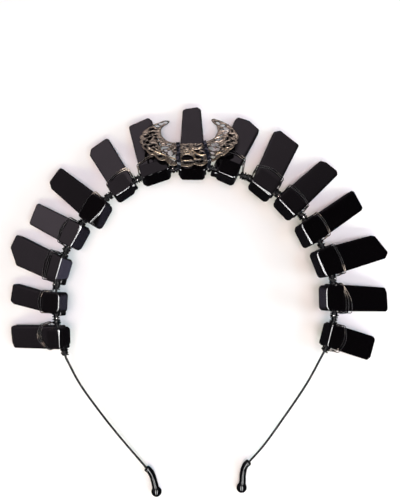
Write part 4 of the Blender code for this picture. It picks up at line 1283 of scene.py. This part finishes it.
crescentGaps = [  # each gap of the openwork
    ((-21.6, 8.7), (-20.9, 10.2), (-19.9, 10.8), (-18.9, 9.6), (-19.8, 9)),
    ((-21.6, 6.2), (-20.8, 7), (-19.4, 7.3), (-18.1, 6.7), (-19.8, 6.3), (-20.9, 5.5)),
    ((-24.1, 4.1), (-23, 4.5), (-21.8, 4.6), (-22.5, 3.5), (-23.5, 2.9)),
    ((-22.2, 1.3), (-21.5, 2.4), (-20, 3.1), (-20.7, 1.7), (-21.3, 0.3)),
    ((-18.9, 4.2), (-18.1, 4.5), (-17.7, 3.8), (-18.4, 3.5)),
    ((-18.4, 1.2), (-17.9, 2.1), (-16.7, 0.9), (-17.3, 0.3)),
    ((-23.3, -1.4), (-22.5, -0.7), (-22, -1.8), (-22.6, -2.8)),
    ((-24.8, -1.3), (-24.3, 0.1), (-23.7, 0.1), (-24.1, -1.3)),
    ((-24.1, -5), (-23.3, -4.2), (-22.5, -5.2), (-23.2, -6)),
    ((-21.4, -4.9), (-20.8, -4.3), (-20.1, -5.1), (-20.8, -5.7)),
    ((-20.4, -4), (-19.5, -3.3), (-18, -3.9), (-18.9, -4.9)),
    ((-17, -2.1), (-16.1, -2.7), (-15.7, -4.5), (-16.4, -4.2)),
    ((-19.3, -7.1), (-18.4, -6.4), (-17.5, -6.5), (-17.6, -8.4), (-18.6, -8)),
    ((-16.1, -8), (-15.4, -6.5), (-14.8, -7.8), (-15.3, -8.6)),
    ((-15.2, -10.6), (-14.3, -10.2), (-13.2, -11.7), (-13.9, -12.3)),
    ((-16.7, -13.8), (-15.9, -13.2), (-14.9, -13.7), (-15.7, -14.5)),
    ((-21.1, -8.8), (-20.1, -8.5), (-19.3, -9.4), (-20.4, -10)),
    ((-12.1, -13), (-11.2, -13.6), (-10.2, -13.3), (-10.8, -14.4), (-11.7, -14.1)),
    ((-12, -3.9), (-10.9, -3.6), (-9.7, -3.9), (-11, -4.4)),
    ((-10.7, -15.4), (-8.7, -13.5), (-7.5, -13.6), (-7.6, -18.6), (-9, -17.2)),
    ((-11.3, -10.1), (-10.2, -9.6), (-9.5, -11.9), (-10.3, -13), (-11.4, -12.2)),
    ((-14.6, -6.3), (-13.3, -5.8), (-11.4, -6.5), (-12.8, -7.5), (-14.3, -7.4)),
    ((-16, 14.3), (-14.9, 15), (-13.9, 14.2), (-15.1, 13.3)),
    ((-18.4, 12.7), (-17.2, 13.2), (-16, 12.3), (-17.1, 11.5)),
    ((-13.6, 15.4), (-12.3, 16), (-11.4, 15.2), (-12.6, 14.5)),
    ((-13.4, -8.6), (-12.6, -8.6), (-11.8, -9.7), (-12.9, -9.9)),
    ((-1.7, -6.4), (-1.2, -6), (-0.7, -6.5), (-1.2, -7)),
    ((3.3, -7.1), (4.2, -6.3), (5.6, -5.8), (5.7, -6.4), (4.6, -7.1)),
    ((2.2, -10.1), (3.4, -9.8), (4.6, -10.2), (4.3, -11.2), (3.8, -12.2), (3, -11.2)),
    ((6.9, -10), (7.2, -9), (7.8, -9), (7.6, -10.2)),
    ((5.8, -13.4), (6.5, -12.1), (7.6, -12), (7.8, -13.2), (6.8, -13.7)),
    ((2.6, -14.1), (3.8, -14.8), (5.6, -15.8), (5.3, -16.9), (3.8, -17.2), (2.9, -16)),
    ((-4.8, -17.3), (-4.1, -15.2), (-3, -14.2), (-1.6, -14), (-0.1, -14.5), (0.9, -15.7),
     (0.8, -17.6), (-2, -17.6)),
    ((-3.9, -19.8), (-2.4, -19.4), (-1.1, -19.6), (0.2, -19.6), (-0.2, -20.6), (-2.5, -20.7)),
    ((4.7, -19.8), (5.7, -18.6), (6.3, -18.9), (5.7, -20.2)),
    ((2.3, -19), (3.2, -18.8), (4.1, -19.2), (3.2, -19.5)),
    ((15.5, 13.3), (16.5, 13.7), (17.2, 12.3), (16.5, 11.4)),
    ((17.6, 10.8), (18.9, 11.3), (19.8, 10.5), (18.6, 9.7)),
    ((19.3, 7.7), (20.6, 8.2), (22, 6.6), (21.5, 5.7), (20.3, 6.5)),
    ((18.6, 3.6), (19.9, 4.5), (21.3, 3.8), (20.3, 3.1)),
    ((16.5, 1.4), (17.5, 2.1), (18.5, 1.7), (17.4, 0.7)),
    ((14.3, -2.7), (15.3, -1.3), (17.2, -0.5), (17.7, -1), (16.1, -2.3)),
    ((21.3, 1.8), (22, 2.5), (23, 1.7), (23.1, 0), (22.2, 0.8)),
    ((19.8, -2), (20.6, 0), (21.2, -0.5), (20.7, -1.9), (20.1, -2.5)),
    ((19.9, -4.7), (21, -4), (21.3, -4.8), (20.4, -5.2)),
    ((22, -3.6), (23.1, -2.9), (23.9, -3.4), (22.8, -4.1)),
    ((17.8, -7.9), (18.5, -7.3), (18.8, -8.1), (18.1, -8.7)),
    ((20.1, -7.8), (21.1, -7.3), (21.8, -7.9), (20.9, -8.4)),
    ((16.6, -12), (17.4, -11.5), (17.8, -12.2), (17.2, -12.6)),
    ((10.2, -8.2), (11.7, -7.6), (12.9, -9.1), (13.4, -10.7), (12.5, -11.2), (11.2, -9.9)),
    ((13.9, -9.9), (15, -9.1), (15.9, -10.4), (15.2, -11.3), (14.3, -10.9)),
    ((10.9, -12.4), (11.9, -12), (12.7, -13.1), (11.9, -13.9)),
    ((10.9, -16), (11.9, -15.3), (12.7, -16.1), (11.9, -17.3)),
    ((11.9, -5.5), (13.8, -4.8), (15.2, -5.3), (14.2, -6.8), (12.6, -7.1)),
    ((18.7, 9.3), (19.6, 9.4), (20.5, 8.9), (19.6, 8.7)),
    ((19.1, 6.5), (20.5, 5.8), (21.9, 4.7), (20.4, 5.2)),
    ((17.6, 7), (18, 7.2), (18.3, 6.5), (17.9, 6.3)),
    ((23.4, 6.2), (23.8, 5.7), (23.8, 4.5), (23.5, 5.2)),
    ((14.7, -7.2), (15.4, -7), (15.9, -7.9), (15.1, -8.1)),
]
crescentRidges = [  # half width of each raised strand and its route
    (0.42, ((-22.6, -5.7), (-21.1, -7.6), (-19.4, -9.2), (-17.1, -11), (-14.7, -12.5),
     (-12.1, -14.4), (-10.2, -15.7), (-7.8, -17.4))),
    (0.34, ((-20.1, -5.7), (-19.3, -5.9), (-17.1, -8.8), (-16.3, -4.9))),
    (0.34, ((-15.7, -10.5), (-15.6, -5.5), (-14.9, -4.1), (-13.4, -3.4))),
    (0.46, ((-5.4, -17.3), (-4.7, -15.1), (-3.3, -13.6), (-1.5, -13.2), (0.1, -13.8), (1.5, -15.5),
     (2.1, -17.6))),
    (0.34, ((-5.4, -17.9), (-3.7, -18.3), (-1.7, -18.5), (0.7, -18.4))),
    (0.3, ((-3.9, -12.7), (-3.4, -11.1), (-2.8, -9.8), (-1.4, -9.5), (0, -10.7), (1.1, -12.7))),
    (0.3, ((-3.1, -11.9), (-1.5, -11.2), (-0.1, -12.3), (0.7, -13.2))),
    (0.42, ((1.2, -8.2), (1.8, -9.3), (2.7, -9.5), (4.6, -9.3), (6.1, -7.9), (6.7, -5.8))),
    (0.46, ((1.1, -10.1), (2.1, -11.4), (3.1, -12.7), (5.1, -14.3), (6.4, -14.6), (8, -14.3))),
    (0.4, ((1.8, -12.7), (2.2, -14.8), (2.6, -16.8), (4.2, -17.8), (5.5, -17.4))),
    (0.36, ((13.7, -14.4), (15.2, -13.1), (16.6, -13.1), (18.5, -11.7), (19.4, -9.5), (21, -9.1),
     (22.4, -7.5))),
    (0.32, ((14.6, -0.1), (16.5, 0.1), (18.7, 1.4), (21.4, 3.5))),
    (0.32, ((14.1, -3.5), (16.6, -3.4), (18.4, -2.4), (19.7, -0.4))),
    (0.32, ((16.1, 5.7), (17.9, 5.2), (19.3, 5.1), (21.9, 5))),
    (0.32, ((16.1, 8.9), (18.2, 9.1), (20.3, 8.6), (22.4, 6.7))),
]


def widenedGap(gap):
    centre = sum((Vector(point) for point in gap), Vector((0.0, 0.0))) / len(gap)
    wider = []
    for point in gap:
        away = Vector(point) - centre
        wider.append(centre + away * (1.0 + crescent["widen"] / max(away.length, crescent["leastReach"])))
    return wider


def insideLoop(point, loop):
    inside = False
    for start, end in zip(loop, loop[1:] + loop[:1]):
        if (start.y > point.y) != (end.y > point.y):
            if point.x < start.x + (end.x - start.x) * (point.y - start.y) / (end.y - start.y):
                inside = not inside
    return inside


def crescentPlate(rim, gaps):  # a flat pierced plate from the loops
    verts, edges = [], []
    for loop in (rim, *gaps):
        first = len(verts)
        verts.extend(loop)
        edges.extend((first + step, first + (step + 1) % len(loop)) for step in range(len(loop)))
    spots, _, faces, _, _, _ = geometry.delaunay_2d_cdt(verts, edges, [], 1, 1e-5)
    plate = bmesh.new()
    corners = [plate.verts.new((spot.x, spot.y, crescent["back"])) for spot in spots]
    for face in faces:
        middle = sum((spots[corner] for corner in face), Vector((0.0, 0.0))) / len(face)
        if insideLoop(middle, rim) and not any(insideLoop(middle, gap) for gap in gaps):
            plate.faces.new([corners[corner] for corner in face])
    lifted = bmesh.ops.extrude_face_region(plate, geom=list(plate.faces))["geom"]
    lifted = [item for item in lifted if isinstance(item, bmesh.types.BMVert)]
    rise = Vector((0.0, 0.0, crescent["front"] - crescent["back"]))
    bmesh.ops.translate(plate, verts=lifted, vec=rise)
    loose = [vertex for vertex in plate.verts if not vertex.link_faces]
    bmesh.ops.delete(plate, geom=loose, context="VERTS")
    bmesh.ops.recalc_face_normals(plate, faces=plate.faces)
    return plate


def raiseRidges(shape, rim):  # strands, the rim and the hollow's lip, thinner towards the horns
    split = 4 * crescent["rimCorners"]
    ridges = [(crescent["rim"], rim[:split]), (crescent["lip"], rim[split - 1:] + rim[:1])]
    for radius, route in crescentRidges:
        ridges.append((radius, smoothRun([Vector(point) for point in route], 5)))
    height = crescent["front"] - crescent["sink"]
    for radius, route in ridges:
        radii = []
        for point in route:
            loss = crescent["taper"] * clamp((point.y - crescent["taperFrom"]) / crescent["taperSpan"])
            radii.append(radius * (1.0 - loss))
        tube = sweptTube([Vector((point.x, point.y, height)) for point in route], radii, 8)
        spare = bpy.data.meshes.new("spare")
        tube.to_mesh(spare)
        tube.free()
        shape.from_mesh(spare)
        bpy.data.meshes.remove(spare)


def carveRelief(mesh, loops):  # domed strands with sunk cells between them, what is rubbed bright, and painted warm light near the foot
    noise.seed_set(1)  # the warp below is then the same each run
    edges = [point for loop in loops for point in loop]
    tree = kdtree.KDTree(len(edges))
    for index, point in enumerate(edges):
        tree.insert(point.to_3d(), index)
    tree.balance()
    for name in ("crest", "paintedWarmLight"):
        pointLayer(mesh, name)
    crests, paintedWarmLights = mesh.attributes["crest"], mesh.attributes["paintedWarmLight"]
    for vertex, item, paintedWarmLight in zip(mesh.vertices, crests.data, paintedWarmLights.data):
        flat = Vector((vertex.co.x, vertex.co.y, 0.0))
        away = tree.find(flat)[2]
        ridge = max(0.0, vertex.co.z - crescent["front"])
        warped = flat + noise.noise_vector(flat * relief["warp"]) * relief["warpReach"]
        near = noise.voronoi(warped * relief["cells"])[0]
        pit = clamp((near[1] - near[0]) / relief["cellEdge"]) * min(1.0, away / relief["cellRim"])
        pit *= 1.0 if ridge < relief["ridge"] else relief["ridgePits"]
        low = max(0.0, -vertex.co.y - relief["lowFrom"]) / relief["lowSpan"]
        if vertex.co.z > relief["face"]:
            grain = noise.noise(vertex.co * relief["grain"]) * relief["grainHeight"]
            swell = math.sqrt(min(1.0, away / relief["domeSpan"])) * relief["dome"]
            vertex.co.z += (
                grain * min(1.0, away / relief["grainRim"]) + swell - relief["drop"] - relief["pit"] * pit)
        # darker towards the hole edges: patina and painted shade
        level = relief["level"] + relief["rise"] * min(1.0, away / relief["riseSpan"])
        level -= relief["pitDark"] * pit
        # rubbed-bright ridges, and painted warm light on the ridges near the foot
        level += ridge * (relief["ridgeLight"] + relief["lowLight"] * min(1.0, low))
        # painted warm light: a gold tint that grows towards the foot
        paintedWarmLight.value = clamp(max(0.0, -vertex.co.y - relief["paintedWarmFrom"]) / relief["paintedWarmSpan"])
        # hole walls take the darkest colour: patina and painted shade
        item.value = clamp(level if vertex.co.z > relief["side"] else 0.0)


def makeCrescent():
    rim = closedRun(crescentOutline, 4)
    gaps = [closedRun(widenedGap(gap), 4) for gap in crescentGaps]
    shape = crescentPlate(rim, gaps)
    raiseRidges(shape, rim)
    mesh = bpy.data.meshes.new("crescent")
    shape.to_mesh(mesh)
    shape.free()
    piece = showMesh("crescent", mesh)
    fuse = piece.modifiers.new("fuse", "REMESH")
    fuse.mode = "VOXEL"
    fuse.voxel_size = crescent["voxel"]
    soft = piece.modifiers.new("soft", "SMOOTH")
    soft.factor = 0.5
    soft.iterations = 3
    bakedMesh(piece, "crescent")
    carveRelief(piece.data, (rim, *gaps))
    piece.data.transform(toMetres(crescentMatrix()))
    piece.data.shade_smooth()
    print("crescent faces", len(piece.data.polygons))
    handOver(piece, agedBronze, "antique_bronze", "moon")


makeCrescent()


# Ties that hold the crescent to the band

tie = {
    "turns": 4, "pitch": 0.50, "wire": 0.56, "sides": 10, "clear": 0.1, "slant": 1.8, "gap": 0.5, "lean": 0.6,
    "hold": 0.9, "foot": 0.7, "front": 0.85, "back": 0.7, "arch": 0.15, "shoulder": 1.0, "bend": 0.1,
    "tail": 1.0}


def rimHeight(across, roundness, half, foot):
    share = max(0.0, 1.0 - (abs(across) / half) ** roundness)
    return -foot * share ** (1.0 / roundness)


def makeTie(side, name, node, slant):
    place = crescentMatrix()
    off = tie["wire"] / 2 + tie["clear"]
    front, back = tie["front"] + off, -tie["back"] - off
    shoulder, bend = tie["shoulder"], tie["bend"]
    start = side * (stations[middleStation]["long"] * beadSize["length"] / 2 + tie["gap"])
    middle, pitch = distances[middleStation], tie["pitch"]
    out, face = place.to_3x3() @ Vector((0, 1, 0)), faceOf(place)
    radius = band["wire"] / 2 + off
    points = []
    for turn in range(tie["turns"]):
        bandPlace = start + side * turn * pitch
        across = bandPlace - crescent["shift"] - side * tie["lean"]
        outer = rimHeight(across, crescent["footRound"], crescent["halfWidth"], crescent["foot"])
        inner = rimHeight(across, crescent["hollowRound"], crescent["hollowHalf"], crescent["hollowDepth"])
        outer = outer - tie["foot"] - off
        inner = crescent["hollowRise"] + inner - tie["hold"] + off
        low, high = across + side * slant / 2, across - side * slant / 2
        points.extend((
            bandPath.at(middle + bandPlace) - out * radius,
            place @ Vector((low, outer, back)),
            place @ Vector((low, outer + bend, front - off)),
            place @ Vector((low, outer + shoulder, front)),
            place @ Vector(((low + high) / 2, (outer + inner) / 2, front + tie["arch"])),
            place @ Vector((high, inner - shoulder, front)),
            place @ Vector((high, inner - bend, front - off)),
            place @ Vector((high, inner, back)),
            bandPath.at(middle + bandPlace + side * pitch / 3) + out * radius,
            bandPath.at(middle + bandPlace + side * pitch * 2 / 3) - face * radius,
        ))
    points.append(bandPath.at(middle + start + side * tie["turns"] * pitch) - out * tie["tail"])
    run = smoothRun(points, 3)
    piece = sweptMesh(name, [run], roundWire, tieWire, radius=tie["wire"] / 2 * mm, sides=tie["sides"])
    handOver(piece, None, "blackened_wire", node)


makeTie(-1, "tieWire_left", "tie_left", 0.0)
makeTie(1, "tieWire_right", "tie_right", tie["slant"])
print("crescent and ties done")


# Floor, lights and camera

floorLook = {"size": 3.0, "colour": (0.86, 0.86, 0.86), "roughness": 0.9, "mirrored": (0.045, 0.043, 0.050)}
floorShape = bmesh.new()
bmesh.ops.create_grid(floorShape, x_segments=4, y_segments=4, size=floorLook["size"])
floorMesh = bpy.data.meshes.new("paleFloor")
floorShape.to_mesh(floorMesh)
floorShape.free()
floor = showMesh("paleFloor", floorMesh)
floorPaint, net, paint = newMaterial("paleFloorPaint")
paint(colour=floorLook["colour"], rough=floorLook["roughness"], sheen=0.0)
# Painted reflection: glossy rays see the floor as a dim glow instead of its pale colour, so polished stone
# mirrors a dim floor
dim = net.new("ShaderNodeEmission")
dim.inputs["Color"].default_value = (*floorLook["mirrored"], 1.0)
choose = net.new("ShaderNodeMixShader")
net.link(net.new("ShaderNodeLightPath").outputs["Is Glossy Ray"], choose.inputs["Fac"])
net.link(net.nodes["Principled BSDF"].outputs["BSDF"], choose.inputs[1])
net.link(dim.outputs["Emission"], choose.inputs[2])
net.link(choose.outputs["Shader"], net.nodes["Material Output"].inputs["Surface"])
floorMesh.materials.append(floorPaint)

world = bpy.data.worlds.new("studio")
bpy.context.scene.world = world
world.use_nodes = True
net = Net(world.node_tree)
net.nodes.clear()
surround = {
    "soft": (0.340, 0.344, 0.345), "backdrop": (0.93, 0.93, 0.94), "dark": (0.008, 0.008, 0.009),
    "wall": (0.98, 0.82, 0.94), "wallTurn": -35.0,
    "around": ((0.48, 0.0), (0.61, 0.2), (0.715, 0.45), (0.83, 0.75), (0.95, 1.0)),
    "upward": ((0.12, 0.0), (0.26, 1.0), (0.70, 1.0), (0.92, 0.1))}
path = net.new("ShaderNodeLightPath")
ray = net.split("Generated")
# Polished faces mirror a pale wall on the upper left, and a dark room elsewhere
turn = math.radians(surround["wallTurn"])
level = net.math("MULTIPLY", ray["Z"], ray["Z"])
level = net.math("SUBTRACT", 1.0001, level)
level = net.math("SQRT", level)
toward = net.math("MULTIPLY", ray["X"], math.sin(turn))
toward = net.math("MULTIPLY_ADD", ray["Y"], math.cos(turn), toward)
toward = net.math("DIVIDE", toward, level)
toward = net.math("MULTIPLY_ADD", toward, 0.5, 0.5, clamp=True)


def greyRamp(value, stops):
    return net.ramp(value, [(place, (grey, grey, grey)) for place, grey in stops])


around = greyRamp(toward, surround["around"])
upward = greyRamp(ray["Z"], surround["upward"])
wall = net.math("MULTIPLY", around, upward)
mirrored = net.mix(wall, surround["dark"], surround["wall"])
seen = net.mix(path.outputs["Is Glossy Ray"], surround["soft"], mirrored)
seen = net.mix(path.outputs["Is Camera Ray"], seen, surround["backdrop"])
glow = net.new("ShaderNodeBackground")
net.link(seen, glow.inputs["Color"])
glow.inputs["Strength"].default_value = 1.0
net.link(glow.outputs[0], net.new("ShaderNodeOutputWorld").inputs["Surface"])


def softLight(name, place, aim, size, power, colour):
    data = bpy.data.lights.new(name, "AREA")
    data.shape = "RECTANGLE"
    data.size, data.size_y = size
    data.energy = power
    data.color = colour
    light = bpy.data.objects.new(name, data)
    light.location = place
    light.rotation_euler = (Vector(aim) - Vector(place)).to_track_quat("-Z", "Y").to_euler()
    light.visible_camera = False
    bpy.context.scene.collection.objects.link(light)
    return light


studio = {  # place, size, power and colour of each soft box, in metres and watts
    "overheadBox": ((0.0, 0.0, 0.95), (0.25, 0.25), 5.2, (1.0, 0.77, 0.79)),
    "frontBox": ((0.0, -0.55, 0.85), (0.2, 0.2), 1.14, (0.90, 1.0, 0.65)),
    "frontRightBox": ((0.30, -0.50, 0.80), (0.2, 0.2), 1.45, (0.85, 1.0, 0.93)),
    "frontLeftBox": ((-0.30, -0.50, 0.80), (0.2, 0.2), 1.14, (1.0, 0.89, 0.51)),
    "rightBox": ((0.35, 0.03, 0.92), (0.25, 0.25), 1.26, (0.23, 0.68, 1.0)),
    "lowRightBox": ((0.75, 0.0, 0.55), (0.25, 0.25), 1.79, (0.87, 0.96, 1.0)),
    "lowFrontBox": ((0.60, -0.45, 0.55), (0.2, 0.2), 1.42, (0.90, 0.88, 1.0)),
}
for name, (place, size, power, colour) in studio.items():
    softLight(name, place, (0.0, 0.03, 0.0), size, power, colour).visible_glossy = False
size, aim = (stripLight["length"], stripLight["width"]), (0.0, stripLight["away"], 0.0)
for side, name in ((-1, "stripBoxLeft"), (1, "stripBoxRight")):
    place = (side * stripLight["across"], stripLight["away"], stripLight["height"])
    strip = softLight(name, place, aim, size, stripLight["power"], (1.0, 1.0, 1.0))
    strip.visible_diffuse = False

cameraData = bpy.data.cameras.new("camera")
cameraData.lens = view["lens"]
cameraData.sensor_width = 36.0
camera = bpy.data.objects.new("camera", cameraData)
camera.location = cameraPlace
bpy.context.scene.collection.objects.link(camera)
bpy.context.scene.camera = camera
bpy.context.scene.view_settings.view_transform = "Standard"

print("scene ready")
